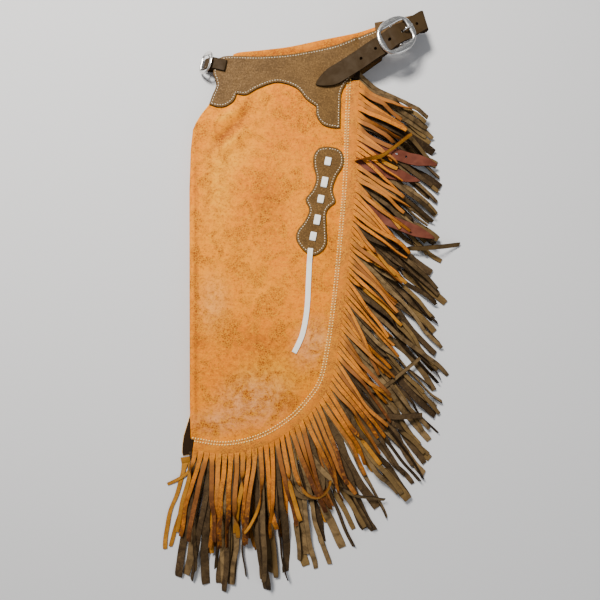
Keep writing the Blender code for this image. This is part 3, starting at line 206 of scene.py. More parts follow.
YOKE_TOP = [(-158.4, 390.0), (-142.2, 398.1), (-116.3, 398.6), (-80.6, 398.1), (-35.2, 401.4), (-2.8, 407.0),
            (37.3, 413.6), (68.8, 421.7), (105.5, 432.8)]
YOKE_END = [(105.5, 432.8), (112.0, 421.0), (116.5, 396.5)]
YOKE_LOWER = [(116.5, 396.5), (95.6, 385.5), (80.5, 377.3), (64.4, 362.8), (53.5, 352.1), (47.8, 339.0),
              (47.0, 319.1)]
YOKE_TAB = [(46.2, 283.7), (34.2, 283.7), (21.3, 286.4), (12.4, 293.3), (6.8, 303.8), (6.8, 317.5)]
YOKE_SCALLOP = [(6.8, 317.5), (-10.1, 329.6), (-25.4, 347.3), (-56.0, 356.2), (-86.7, 346.5), (-106.0, 336.0),
                (-121.3, 337.6)]
YOKE_LOBE = [(-121.3, 337.6), (-125.5, 327.0), (-138.2, 317.8), (-152.0, 316.3), (-165.6, 320.7)]
YOKE_LEFT = [(-165.6, 320.7), (-159.9, 336.8), (-153.5, 352.9), (-159.1, 369.0)]
LINING_TOP = [(-128.5, 408.5), (-117.0, 412.0), (-81.1, 415.4), (-35.3, 421.1), (13.7, 431.5), (61.6, 441.0),
              (116.5, 453.0)]

# Pale, dark and dull places of the top leg: centre, half sizes, turn in degrees, strength. Some pale ones are painted
# highlights and some dark ones painted shade, as marked below
Patch = namedtuple("Patch", "x y half_x half_y turn strength")
PALE = [
    Patch(-150.0, 190.0, 42.0, 120.0, 0.0, 0.9),
    Patch(-120.0, 235.0, 50.0, 30.0, 25.0, 0.7),
    Patch(-158.0, -10.0, 40.0, 90.0, 0.0, 0.6),
    Patch(-75.0, -130.0, 90.0, 64.0, 20.0, 1.6),
    Patch(10.0, -60.0, 26.0, 40.0, 0.0, 0.7),
    # Painted highlights along the crease's two ridges
    Patch(-138.0, 303.0, 28.0, 9.0, 26.0, 1.2),
    Patch(-128.0, 265.0, 34.0, 12.0, 32.0, 1.1),
]
DARK_PATCHES = [
    Patch(-90.0, -120.0, 190.0, 140.0, 0.0, 0.46),
    Patch(-20.0, 300.0, 110.0, 70.0, 0.0, 0.35),
    # Along the lining: worn marks, and painted shade where the yoke's edge lies over it
    Patch(-40.0, 408.0, 130.0, 13.0, 3.0, 1.0),
    Patch(62.0, 427.0, 80.0, 15.0, 13.0, 1.0),
    Patch(0.0, 425.0, 160.0, 40.0, 8.0, 0.5),
    # Painted shade in the crease's trough
    Patch(-137.0, 275.0, 50.0, 14.0, 43.0, 1.5),
    Patch(-108.0, 312.0, 34.0, 12.0, 67.0, 1.1),
    # Painted shade along the folded side's edge
    Patch(-188.0, 20.0, 4.5, 420.0, 0.0, 0.9),
    # Other darker places
    Patch(-72.0, 165.0, 46.0, 80.0, -12.0, 0.75),
    Patch(30.0, 90.0, 22.0, 70.0, 5.0, 0.6),
    Patch(-180.0, -62.0, 22.0, 16.0, 0.0, 0.8),
    Patch(-90.0, -60.0, 90.0, 34.0, -8.0, 0.5),
    Patch(-42.0, -165.0, 30.0, 30.0, 30.0, 0.5),
    Patch(-170.0, -205.0, 34.0, 16.0, 0.0, 0.45),
]
DULL = [
    Patch(-95.0, -160.0, 90.0, 64.0, 10.0, 1.0),
    Patch(-160.0, -195.0, 60.0, 34.0, 0.0, 0.7),
    Patch(0.0, -65.0, 44.0, 64.0, -20.0, 0.9),
    Patch(-160.0, 0.0, 40.0, 70.0, 0.0, 0.4),
]
PATCHES = {"pale": PALE, "dark": DARK_PATCHES, "dull": DULL}

CAMERA_SPOT = (-19.0, 5.0, 800.0)
CAMERA_LENS = 29.1


def smooth(value):
    """Ease from 0 to 1."""
    value = min(max(value, 0.0), 1.0)
    return value * value * (3.0 - 2.0 * value)


def lookup(table, value):
    """Straight-line reading of a table of (position, value) rows."""
    return float(np.interp(value, [row[0] for row in table], [row[1] for row in table]))


def curve_through(points, step):
    """Points about one step apart on a smooth curve through the given ones."""
    ends = [2.0 * np.array(points[0]) - np.array(points[1])] + [np.array(p) for p in points]
    ends.append(2.0 * np.array(points[-1]) - np.array(points[-2]))
    line = []
    for a, b, c, d in zip(ends, ends[1:], ends[2:], ends[3:]):
        pieces = max(1, round(float(np.linalg.norm(c - b)) / step))
        for part in range(pieces):
            t = part / pieces
            line.append(0.5 * (2 * b + (c - a) * t + (2 * a - 5 * b + 4 * c - d) * t * t
                               + (3 * b - a - 3 * c + d) * t ** 3))
    line.append(np.array(points[-1], dtype=float))
    return [tuple(float(v) for v in point) for point in line]


def run_lengths(points):
    """How far along a line each of its points is."""
    return np.concatenate([[0.0], np.cumsum(np.linalg.norm(np.diff(points, axis=0), axis=1))])


def along_line(points, lengths, distance):
    """The place that far along a flat line."""
    return np.array([np.interp(distance, lengths, points[:, axis]) for axis in (0, 1)])


def neighbours(row, index):
    """What comes before and after one of a row, or the one itself at an end."""
    return row[max(index - 1, 0)], row[min(index + 1, len(row) - 1)]


def circle(count):
    """Cosine and sine of even turns round a circle."""
    return [(math.cos(a), math.sin(a)) for a in (2.0 * math.pi * k / count for k in range(count))]


def joined(*runs):
    """One closed outline from runs that follow each other, without doubled points."""
    outline = []
    for run in runs:
        for point in run:
            if not outline or math.dist(point, outline[-1]) > 1.0:
                outline.append(tuple(point))
    if math.dist(outline[0], outline[-1]) < 1.0:
        outline.pop()
    return outline


class Edge:
    """A fringed edge as a smooth line that is read by its length."""

    STEP = 12.0
    REACH = 8.0

    def __init__(self, points):
        self.points = np.array(curve_through(points, self.STEP))
        self.lengths = run_lengths(self.points)
        self.total = float(self.lengths[-1])

    def point(self, distance):
        reach = min(max(distance, 0.0), self.total)
        return along_line(self.points, self.lengths, reach) + (distance - reach) * self.tangent(reach)

    def tangent(self, distance):
        low = min(max(distance - self.REACH, 0.0), self.total - 2.0 * self.REACH)
        start, end = (along_line(self.points, self.lengths, d) for d in (low, low + 2.0 * self.REACH))
        return (end - start) / np.linalg.norm(end - start)

    def outward(self, distance):
        """The side that the strands hang from, to the left of the way down."""
        along = self.tangent(distance)
        return np.array([-along[1], along[0]])

    def offset(self, distance, amount):
        return self.point(distance) + self.outward(distance) * amount

    def inside(self, x, y):
        """How far a place is inside the edge; 0 outside it."""
        starts, ends = self.points[:-1], self.points[1:]
        runs = ends - starts
        away = np.array([x, y]) - starts
        share = np.clip((away * runs).sum(axis=1) / (runs * runs).sum(axis=1), 0.0, 1.0)
        gaps = away - runs * share[:, None]
        nearest = int((gaps ** 2).sum(axis=1).argmin())
        side = runs[nearest][0] * gaps[nearest][1] - runs[nearest][1] * gaps[nearest][0]
        return float(np.linalg.norm(gaps[nearest])) if side < 0.0 else 0.0


TOP_EDGE = Edge(HEM_EDGE)
UNDER_EDGE = Edge([(x + UNDER_SHIFT[0], y + UNDER_SHIFT[1]) for x, y in HEM_EDGE[:-1]] + [UNDER_CORNER])

BELT_ALONG = np.array(BELT_END) - np.array(BELT_START)
BELT_LENGTH = float(np.linalg.norm(BELT_ALONG))
BELT_ALONG = BELT_ALONG / BELT_LENGTH
BELT_ACROSS = np.array([-BELT_ALONG[1], BELT_ALONG[0]])
BELT_ANGLE = math.atan2(BELT_ALONG[1], BELT_ALONG[0])
BELT_SIDE = Vector((*BELT_ACROSS, 0.0))


def belt_reach(x, y):
    """How far along the belt a place is."""
    return float(np.dot(np.array([x, y]) - np.array(BELT_START), BELT_ALONG))


def belt_point(along, across, height):
    """A place given in the belt's own directions."""
    share = along / BELT_LENGTH
    bow = BELT_BOW * 4.0 * share * (1.0 - share) if 0.0 < share < 1.0 else 0.0
    spot = np.array(BELT_START) + BELT_ALONG * along + BELT_ACROSS * (across + bow)
    return Vector((spot[0], spot[1], height))


def belt_lift(x, y):
    """The buckled end of the belt stands up from the pile."""
    return BELT_LIFT * smooth((belt_reach(x, y) - BELT_LIFT_START) / BELT_LIFT_LENGTH)


def crease_height(x, y):
    """Soft troughs and ridges, each fading out along its length and its width."""
    total = 0.0
    for crease in CREASES:
        start = np.array([crease.x0, crease.y0])
        run = np.array([crease.x1, crease.y1]) - start
        length = float(np.linalg.norm(run))
        run = run / length
        away = np.array([x, y]) - start
        along = float(np.dot(away, run)) / length
        across = abs(float(run[0] * away[1] - run[1] * away[0])) / crease.half_width
        total += crease.height * (1.0 - smooth(abs(3.2 * along - 1.6) - 0.6)) * (1.0 - smooth(across))
    for size, height in RIPPLES:
        total += height * noise.noise(Vector((x / size, y / size, size)))
    return total


def leg_middle(x, y):
    """Height of the middle of the top leg's leather."""
    slope = smooth(TOP_EDGE.inside(x, y) / HEM_SLOPE)
    return HEM_MIDDLE + (LEG_MIDDLE - HEM_MIDDLE) * slope + crease_height(x, y) * slope + belt_lift(x, y)


def leg_top(x, y):
    return leg_middle(x, y) + LEG_WALL / 2.0


def yoke_middle(x, y):
    """The yoke lies on the leg, and a little freer where the belt lifts both."""
    freedom = 0.8 * smooth((belt_reach(x, y) - 15.0) / 25.0)
    return leg_top(x, y) + SEAM + freedom + YOKE_WALL / 2.0


def under_lift(x):
    """The far yoke's belt end rises towards the strap that folds over it."""
    return 9.0 * smooth((x - 70.0) / 58.0)


def rolled(x, y):
    """The top leg's leather rolls round its folded side and returns below itself."""
    axis = lookup(FOLD_LINE, y) + LEG_WALL / 2.0 + FOLD_RADIUS
    if x >= axis:
        return Vector((x, y, leg_middle(x, y))), UP
    height = leg_middle(axis, y)
    radius = (height - FOLD_RETURN_MIDDLE) / 2.0
    turn = (axis - x) / FOLD_RADIUS
    centre = Vector((axis - FOLD_RADIUS + radius, y, height - radius))
    if turn < math.pi:
        normal = Vector((-math.sin(turn), 0.0, math.cos(turn)))
        return centre + normal * radius, normal
    return centre + Vector(((turn - math.pi) * FOLD_RADIUS, 0.0, -radius)), -UP


def level(height):
    """A placing that keeps a panel over its flat outline."""
    return lambda x, y: (Vector((x, y, height(x, y))), UP)


# Materials: each look is a node tree, in the metres of the part's frame

class Look:
    """A leather, thread or metal finish made of nodes."""

    def __init__(self, name, roughness, metallic=0.0, shine=0.08):
        self.material = bpy.data.materials.new(name)
        self.material.use_nodes = True
        self.tree = self.material.node_tree
        self.shader = self.tree.nodes["Principled BSDF"]
        self.shader.inputs["Roughness"].default_value = roughness
        self.shader.inputs["Metallic"].default_value = metallic
        self.shader.inputs["Specular IOR Level"].default_value = shine
        self.place = self.add("ShaderNodeTexCoord").outputs["Object"]

    def add(self, kind, **settings):
        node = self.tree.nodes.new(kind)
        for key, value in settings.items():
            setattr(node, key, value)
        return node

    def join(self, source, target):
        if isinstance(source, (int, float)):
            target.default_value = source
        elif isinstance(source, tuple):
            target.default_value = (*source, 1.0)
        else:
            self.tree.links.new(source, target)

    def stretched(self, turn, sizes):
        """The place with its axes turned about Z and stretched, for fibres and streaks."""
        node = self.add("ShaderNodeMapping")
        node.inputs["Rotation"].default_value = (0.0, 0.0, math.radians(turn))
        node.inputs["Scale"].default_value = sizes
        self.join(self.place, node.inputs["Vector"])
        return node.outputs["Vector"]

    def noise(self, scale, detail=3.0, rough=0.55, warp=0.0, place=None):
        node = self.add("ShaderNodeTexNoise")
        for key, value in (("Scale", scale), ("Detail", detail), ("Roughness", rough), ("Distortion", warp)):
            node.inputs[key].default_value = value
        self.join(place or self.place, node.inputs["Vector"])
        return node.outputs["Fac"]

    def cells(self, scale, feature="F1"):
        node = self.add("ShaderNodeTexVoronoi", feature=feature)
        node.inputs["Scale"].default_value = scale
        self.join(self.place, node.inputs["Vector"])
        return node.outputs["Distance"]

    def mark(self, name):
        """A number that the mesh carries at each of its points."""
        return self.add("ShaderNodeAttribute", attribute_name=name).outputs["Fac"]

    def ramp(self, value, low, high, start=0.0, end=1.0):
        """A number read from low to high as start to end."""
        node = self.add("ShaderNodeMapRange", interpolation_type="SMOOTHSTEP")
        for key, number in (("From Min", low), ("From Max", high), ("To Min", start), ("To Max", end)):
            node.inputs[key].default_value = number
        self.join(value, node.inputs["Value"])
        return node.outputs["Result"]

    def combine(self, operation, first, second):
        node = self.add("ShaderNodeMath", operation=operation)
        self.join(first, node.inputs[0])
        self.join(second, node.inputs[1])
        return node.outputs[0]

    def times(self, first, second):
        return self.combine("MULTIPLY", first, second)

    def blend(self, share, first, second):
        node = self.add("ShaderNodeMix", data_type="RGBA")
        self.join(share, node.inputs[0])
        self.join(first, node.inputs[6])
        self.join(second, node.inputs[7])
        return node.outputs[2]

    def tint(self, colour, value, low, high, most, over):
        """Lay a tint over a colour, up to most, where a number runs from low to high."""
        return self.blend(self.ramp(value, low, high, 0.0, most), colour, over)

    def colour(self, value):
        self.join(value, self.shader.inputs["Base Color"])

    def roughness(self, value):
        self.join(value, self.shader.inputs["Roughness"])

    def relief(self, *layers):
        """Bump from (height, distance in metres, strength) layers, the coarsest first."""
        normal = None
        for height, distance, strength in layers:
            node = self.add("ShaderNodeBump")
            node.inputs["Distance"].default_value = distance
            node.inputs["Strength"].default_value = strength
            self.join(height, node.inputs["Height"])
            if normal is not None:
                self.join(normal, node.inputs["Normal"])
            normal = node.outputs["Normal"]
        self.join(normal, self.shader.inputs["Normal"])


CARAMEL_BASE = (0.920, 0.238, 0.000)
CARAMEL_PALE = (1.000, 0.425, 0.012)
CARAMEL_DULL = (0.900, 0.395, 0.150)
CARAMEL_GOLD = (1.000, 0.335, 0.000)
CARAMEL_DARK = (0.340, 0.082, 0.010)
CARAMEL_LIGHT = (1.000, 0.400, 0.006)
CARAMEL_BURNT = (0.072, 0.025, 0.010)
STRAND_DARK = (0.200, 0.072, 0.024)
STRAND_DULL = (0.480, 0.205, 0.050)


def caramel_look(name, strands):
    """Distressed pull-up leather: clouds, patches, rubbed specks and a fine grain."""
    look = Look(name, 0.62, shine=0.04)
    clouds = look.noise(9.0, 3.0, 0.5, 0.5)
    patches = look.noise(34.0, 6.0, 0.66, 0.9)
    mottle = look.noise(120.0, 6.0, 0.72, 0.6)
    specks = look.noise(260.0, 4.0, 0.7, 0.3)
    fibres = look.noise(70.0, 6.0, 0.70, 1.4, look.stretched(24.0, (1.0, 5.0, 1.0)))
    dark = look.times(look.ramp(patches, 0.42, 0.66, 0.0, 0.90), look.ramp(mottle, 0.30, 0.62, 0.45, 1.0))
    # The dark mark holds darker, worn places and painted shade (crease trough, folded side's edge, under the yoke's
    # edge, the fringe's seam); the pale mark holds paler places and painted highlights on the crease ridges
    worn_and_shade = look.times(look.mark("dark"), look.ramp(mottle, 0.30, 0.64, 0.38, 0.95))
    pale = look.times(look.mark("pale"), look.ramp(mottle, 0.70, 0.40, 0.4, 1.0))
    dull = look.times(look.mark("dull"), look.ramp(mottle, 0.74, 0.40, 0.75, 1.0))
    cracks = look.ramp(look.cells(270.0, "DISTANCE_TO_EDGE"), 0.13, 0.03, 0.0, 0.55)
    colour = look.tint(CARAMEL_BASE, clouds, 0.40, 0.68, 0.60, CARAMEL_GOLD)
    colour = look.blend(pale, colour, CARAMEL_PALE)
    colour = look.tint(colour, fibres, 0.48, 0.62, 0.80, CARAMEL_GOLD)
    colour = look.blend(dull, colour, CARAMEL_DULL)
    colour = look.blend(look.combine("ADD", dark, worn_and_shade), colour, CARAMEL_DARK)
    colour = look.tint(colour, mottle, 0.46, 0.70, 0.50, CARAMEL_DARK)
    colour = look.tint(colour, specks, 0.53, 0.68, 0.62, CARAMEL_DARK)
    colour = look.tint(colour, specks, 0.45, 0.30, 0.50, CARAMEL_LIGHT)
    colour = look.blend(look.times(cracks, look.ramp(patches, 0.42, 0.60, 0.15, 1.0)), colour, CARAMEL_LIGHT)
    if strands:
        tone = look.mark("tone")
        colour = look.blend(look.ramp(tone, 0.0, 0.6, 0.25, 0.55), colour, STRAND_DULL)
        colour = look.tint(colour, tone, 0.35, 1.0, 0.75, STRAND_DARK)
        tips = look.times(look.ramp(look.mark("reach"), 0.05, 0.75), look.ramp(mottle, 0.34, 0.58, 0.50, 1.0))
        colour = look.blend(look.times(tips, look.mark("burnt")), colour, CARAMEL_BURNT)
    look.colour(colour)
    look.roughness(look.ramp(patches, 0.3, 0.7, 0.50, 0.74))
    look.relief((patches, 0.0015, 0.35), (mottle, 0.0007, 0.6), (look.cells(950.0), 0.00025, 0.35),
                (specks, 0.0003, 0.5))
    return look.material


def suede_look(name, colour, shade):
    """The flesh side: napped, soft and uneven."""
    look = Look(name, 0.9)
    nap = look.noise(260.0, 6.0, 0.7, 0.6)
    cloud = look.noise(45.0, 4.0, 0.6, 0.5)
    mixed = look.tint(colour, cloud, 0.35, 0.68, 0.5, shade)
    mixed = look.tint(mixed, nap, 0.42, 0.70, 0.55, shade)
    look.colour(look.tint(mixed, look.mark("tone"), 0.3, 1.0, 0.5, shade))
    look.shader.inputs["Sheen Weight"].default_value = 0.06
    look.shader.inputs["Sheen Roughness"].default_value = 0.5
    look.relief((nap, 0.0006, 0.6),)
    return look.material


def pebbled_look(name, colour, shade):
    """Dark leather with a pebbled grain that catches small lights."""
    look = Look(name, 0.56)
    pebbles = look.cells(820.0, "SMOOTH_F1")
    cloud = look.noise(38.0, 4.0, 0.6, 0.4)
    dust = look.noise(420.0, 4.0, 0.7)
    mixed = look.tint(colour, cloud, 0.35, 0.68, 0.6, shade)
    mixed = look.tint(mixed, pebbles, 0.30, 0.75, 0.75, shade)
    mixed = look.tint(mixed, dust, 0.50, 0.68, 0.85, shade)
    look.colour(look.tint(mixed, dust, 0.46, 0.34, 0.55, tuple(c * 1.9 for c in colour)))
    look.roughness(look.ramp(dust, 0.3, 0.7, 0.46, 0.66))
    look.relief((cloud, 0.0010, 0.3), (pebbles, 0.0005, -0.7), (dust, 0.0002, 0.3))
    return look.material


def strap_look(name, colour, shade, light):
    """Smooth strap leather with a fine grain, faint scratches and a burnished tone."""
    look = Look(name, 0.6)
    cloud = look.noise(55.0, 5.0, 0.62, 0.5)
    grain = look.cells(1300.0, "SMOOTH_F1")
    scratches = look.noise(120.0, 6.0, 0.7, 0.8, look.stretched(-20.0, (1.0, 9.0, 1.0)))
    mixed = look.tint(colour, cloud, 0.32, 0.70, 1.0, shade)
    look.colour(look.tint(mixed, scratches, 0.60, 0.78, 0.6, light))
    look.roughness(look.ramp(cloud, 0.3, 0.7, 0.52, 0.72))
    look.relief((cloud, 0.0002, 0.15), (grain, 0.00025, -0.5), (scratches, 0.00015, 0.4))
    return look.material


def strand_look(name, colour, shade, light):
    """Split leather strands: each its own tone, fibrous along its length, worn at the tip."""
    look = Look(name, 0.78)
    cloud = look.noise(70.0, 5.0, 0.65, 0.6)
    fibres = look.noise(300.0, 6.0, 0.72, 1.0)
    mixed = look.tint(light, look.mark("tone"), 0.0, 0.70, 1.0, colour)
    mixed = look.tint(mixed, look.mark("tone"), 0.60, 1.0, 0.8, shade)
    mixed = look.tint(mixed, cloud, 0.38, 0.70, 0.75, shade)
    look.colour(look.tint(mixed, fibres, 0.50, 0.74, 0.45, light))
    look.relief((cloud, 0.0008, 0.35), (fibres, 0.0004, 0.5))
    return look.material


def cut_look(name, colour, shade):
    """A cut edge: raw fibres with a darker skin."""
    look = Look(name, 0.85)
    fibres = look.noise(520.0, 5.0, 0.7)
    look.colour(look.tint(colour, fibres, 0.36, 0.66, 1.0, shade))
    look.relief((fibres, 0.0003, 0.5),)
    return look.material


def thread_look(name, colour, shade):
    """Waxed thread with its plies."""
    look = Look(name, 0.55)
    plies = look.add("ShaderNodeTexWave", wave_type="BANDS", bands_direction="DIAGONAL")
    plies.inputs["Scale"].default_value = 420.0
    plies.inputs["Distortion"].default_value = 1.5
    look.join(look.place, plies.inputs["Vector"])
    look.colour(look.tint(colour, look.noise(160.0, 3.0), 0.35, 0.7, 1.0, shade))
    look.relief((plies.outputs["Fac"], 0.0002, 0.5),)
    return look.material


def lace_look(name):
    """Flat ivory hide, a little yellowed in places."""
    look = Look(name, 0.5)
    cloud = look.noise(90.0, 4.0, 0.6, 0.4)
    fibres = look.noise(420.0, 5.0, 0.7)
    mixed = look.tint((1.0, 0.98, 0.92), cloud, 0.35, 0.75, 0.6, (0.90, 0.83, 0.66))
    look.colour(look.tint(mixed, fibres, 0.58, 0.76, 0.3, (0.78, 0.68, 0.48)))
    look.relief((cloud, 0.0005, 0.3), (fibres, 0.0002, 0.4))
    return look.material


def steel_look(name):
    """Polished steel with rubbing marks and a little grime."""
    look = Look(name, 0.2, 1.0)
    rubbing = look.noise(240.0, 6.0, 0.7, 0.4, look.stretched(29.0, (1.0, 7.0, 1.0)))
    grime = look.noise(60.0, 4.0, 0.6)
    look.colour(look.tint((0.80, 0.78, 0.75), grime, 0.50, 0.75, 0.35, (0.52, 0.48, 0.43)))
    look.roughness(look.ramp(rubbing, 0.35, 0.72, 0.12, 0.34))
    look.relief((rubbing, 0.0001, 0.25),)
    return look.material


LOOKS = {
    "caramel": caramel_look("caramel_grain", strands=False),
    "caramel_strand": caramel_look("caramel_strand_grain", strands=True),
    "caramel_flesh": suede_look("caramel_flesh", (0.50, 0.210, 0.020), (0.19, 0.070, 0.006)),
    "caramel_cut": cut_look("caramel_cut_edge", (1.00, 0.62, 0.240), (0.62, 0.30, 0.080)),
    # The fringe's cut sides: the leather's edge darkened with painted shade, for the lines between the strands
    "caramel_strand_shaded_side": cut_look("caramel_strand_side_painted_shade", (0.20, 0.060, 0.008), (0.07, 0.020, 0.003)),
    # Near-black painted shadow: the far leg's lip lies in the fold's shade under the top leg
    "painted_fold_shadow": suede_look("far_leg_painted_shadow", (0.030, 0.014, 0.005), (0.014, 0.007, 0.003)),
    "dark": pebbled_look("dark_pebbled", (0.170, 0.090, 0.028), (0.085, 0.044, 0.014)),
    "dark_flesh": suede_look("dark_flesh", (0.15, 0.085, 0.035), (0.07, 0.038, 0.016)),
    "dark_cut": cut_look("dark_cut_edge", (0.055, 0.030, 0.014), (0.020, 0.011, 0.006)),
    "belt": strap_look("belt_grain", (0.049, 0.029, 0.012), (0.038, 0.022, 0.009), (0.080, 0.049, 0.022)),
    "belt_cut": cut_look("belt_burnished_edge", (0.022, 0.012, 0.007), (0.010, 0.006, 0.004)),
    "oxblood": strap_look("oxblood_grain", (0.160, 0.047, 0.027), (0.105, 0.030, 0.018), (0.24, 0.080, 0.046)),
    "oxblood_cut": cut_look("oxblood_edge", (0.065, 0.020, 0.012), (0.030, 0.010, 0.006)),
    "olive": strand_look("olive_strand", (0.085, 0.052, 0.024), (0.022, 0.012, 0.006), (0.230, 0.145, 0.062)),
    "olive_flesh": suede_look("olive_flesh", (0.200, 0.122, 0.042), (0.075, 0.043, 0.017)),
    "olive_cut": cut_look("olive_edge", (0.040, 0.023, 0.011), (0.012, 0.007, 0.004)),
    "hem_thread": thread_look("hem_thread", (1.00, 0.82, 0.34), (0.98, 0.68, 0.20)),
    "yoke_thread": thread_look("yoke_thread", (0.95, 0.86, 0.66), (0.74, 0.60, 0.40)),
    "lace": lace_look("ivory_lace_hide"),
    "steel": steel_look("buckle_steel"),
}


def looks(*names):
    return [LOOKS[name] for name in names]


CARAMEL_SHELL = looks("caramel", "caramel_flesh", "caramel_cut")
DARK_SHELL = looks("dark", "dark_flesh", "dark_cut")
BELT_SHELL = looks("belt", "dark_flesh", "belt_cut")
LACE_SHELL = looks("lace", "lace", "lace")
STEEL = looks("steel")
CARAMEL_STRANDS = looks("caramel_strand", "caramel_flesh", "caramel_strand_shaded_side")
OLIVE_STRANDS = looks("olive", "olive_flesh", "olive_cut")
SUEDE_STRANDS = looks("caramel_flesh", "caramel_strand", "caramel_strand_shaded_side")


def placed(name, data):
    """A new object in the scene."""
    item = bpy.data.objects.new(name, data)
    bpy.context.collection.objects.link(item)
    return item


def mesh_from(name, bm, finishes):
    mesh = bpy.data.meshes.new(name)
    bm.to_mesh(mesh)
    bm.free()
    for finish in finishes:
        mesh.materials.append(finish)
    return mesh


def even_shading(item):
    item.modifiers.new("normals", "WEIGHTED_NORMAL").weight = 60


def piece(name, bm, finishes, nodes=(), even=True):
    """Turn a mesh in millimetres into a finished piece, in metres, on the part's body."""
    bmesh.ops.scale(bm, vec=(MM, MM, MM), verts=bm.verts)
    for face in bm.faces:
        face.smooth = True
    item = placed(name, mesh_from(name, bm, finishes))
    if even:
        even_shading(item)
    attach(item, BODY)
    if nodes:
        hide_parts(*nodes)
    return item


# Panels of leather. A leather piece has three finishes: grain side, flesh side and cut edge

GRAIN, FLESH, CUT = range(3)
# How far outwards a panel's edge looks to find its own direction
NUDGE = 0.2


def rules(low, high, step, fine=()):
    """Ruling lines from low to high, with finer stretches given as (start, end, step)."""
    lines = set(np.round(np.arange(low + step, high, step), 3))
    for start, end, small in fine:
        lines = {line for line in lines if not start - small < line < end + small}
        lines |= set(np.round(np.arange(start, end, small), 3))
    return sorted(lines)


def flat_mesh(outline, xs, ys):
    """A triangulated flat panel: its outline filled and ruled into cells."""
    bm = bmesh.new()
    bm.faces.new([bm.verts.new((x, y, 0.0)) for x, y in outline])
    for axis, lines in ((0, xs), (1, ys)):
        normal = [0.0, 0.0, 0.0]
        normal[axis] = 1.0
        for line in lines:
            place = [0.0, 0.0, 0.0]
            place[axis] = line
            geometry = bm.verts[:] + bm.edges[:] + bm.faces[:]
            bmesh.ops.bisect_plane(bm, geom=geometry, dist=0.05, plane_co=place, plane_no=normal)
    bmesh.ops.triangulate(bm, faces=[face for face in bm.faces if len(face.verts) > 4])
    for face in bm.faces:
        if face.normal.z < 0.0:
            face.normal_flip()
    return bm


def patch_strength(patches, x, y):
    """How much of a place the soft-edged patches cover."""
    total = 0.0
    for patch in patches:
        angle = math.radians(patch.turn)
        dx, dy = x - patch.x, y - patch.y
        a = (dx * math.cos(angle) + dy * math.sin(angle)) / patch.half_x
        b = (dy * math.cos(angle) - dx * math.sin(angle)) / patch.half_y
        total += patch.strength * (1.0 - smooth(math.hypot(a, b)))
    return min(total, 1.0)


def panel(name, outline, place, thickness, cell, finishes, nodes=(), fine=(), rim=0.5):
    """A closed shell of leather with a rounded cut edge: grain side, flesh side, edge."""
    xs, ys = [point[0] for point in outline], [point[1] for point in outline]
    flat = flat_mesh(outline, rules(min(xs), max(xs), cell, fine), rules(min(ys), max(ys), cell))
    bm = bmesh.new()
    marks = [(bm.verts.layers.float.new(mark), patches) for mark, patches in PATCHES.items()]
    outwards = {}
    loops = [edge.link_loops[0] for edge in flat.edges if edge.is_boundary]
    borders = [(loop.vert, loop.link_loop_next.vert) for loop in loops]
    for a, b in borders:
        run = (b.co - a.co).normalized()
        for vert in (a, b):
            outwards[vert] = outwards.get(vert, Vector()) + Vector((run.y, -run.x, 0.0))
    half = thickness / 2.0
    columns = {}
    for vert in flat.verts:
        x, y = vert.co.x, vert.co.y
        middle, normal = place(x, y)
        if vert in outwards:
            out = outwards[vert].normalized()
            away = place(x + out.x * NUDGE, y + out.y * NUDGE)[0] - middle
            away = away.normalized() if away.length > 1e-6 else out
            places = [middle + normal * half - away * rim, middle + normal * (half - rim),
                      middle - normal * (half - rim), middle - normal * half - away * rim]
        else:
            places = [middle + normal * half, middle - normal * half]
        column = [bm.verts.new(spot) for spot in places]
        for mark, patches in marks:
            strength = patch_strength(patches, x, y)
            for made in column:
                made[mark] = strength
        columns[vert] = column
    for face in flat.faces:
        bm.faces.new([columns[vert][0] for vert in face.verts]).material_index = GRAIN
        bm.faces.new([columns[vert][-1] for vert in reversed(face.verts)]).material_index = FLESH
    for a, b in ((columns[start], columns[end]) for start, end in borders):
        for row in range(3):
            bm.faces.new([b[row], a[row], a[row + 1], b[row + 1]]).material_index = CUT
    area = sum(face.calc_area() for face in flat.faces)
    flat.free()
    item = piece(name, bm, finishes, nodes)
    sizes = ((max(xs) - min(xs)) * MM, (max(ys) - min(ys)) * MM)
    return item, sizes, area * MM * MM


def cloth(made):
    """The object of a made panel, without its sizes and area."""
    item, sizes, area = made
    return item


# Straps, laces and wires

# A belt's edge line: distances in from its side, and the share of the groove's depth
GROOVE = [(1.9, 0.0), (2.4, 1.0), (2.9, 0.0)]


def section(half_width, half_thickness, groove):
    """A strap's rounded section as (across, up, finish) rows; groove is its edge line's depth."""
    corner = min(0.55, half_thickness * 0.6, half_width * 0.5)
    flat, low = half_width - corner, half_thickness - corner
    right = [(flat, half_thickness, GRAIN)]
    if groove:
        right += [(half_width - inset, half_thickness - depth * groove, GRAIN) for inset, depth in GROOVE]
    left = [(-across, up, GRAIN) for across, up, _ in reversed(right)]
    left[-1] = (-flat, half_thickness, CUT)
    return right + left + [(-half_width, low, CUT), (-half_width, -low, CUT), (-flat, -half_thickness, FLESH),
                           (flat, -half_thickness, CUT), (half_width, -low, CUT), (half_width, low, CUT)]


def skin(bm, rings, finishes, closed=False):
    """Faces from ring to ring of vertices; finishes gives the finish from each corner to the next."""
    pairs = list(zip(rings, rings[1:])) + ([(rings[-1], rings[0])] if closed else [])
    for a, b in pairs:
        for side, finish in enumerate(finishes):
            after = (side + 1) % len(finishes)
            bm.faces.new([a[side], a[after], b[after], b[side]]).material_index = finish
    if not closed:
        for ring in (list(reversed(rings[0])), rings[-1]):
            bm.faces.new(ring).material_index = finishes[-1]


def loft(bm, rings, finishes, closed=False):
    """A skin that faces outwards."""
    skin(bm, rings, finishes, closed)
    bmesh.ops.recalc_face_normals(bm, faces=bm.faces)


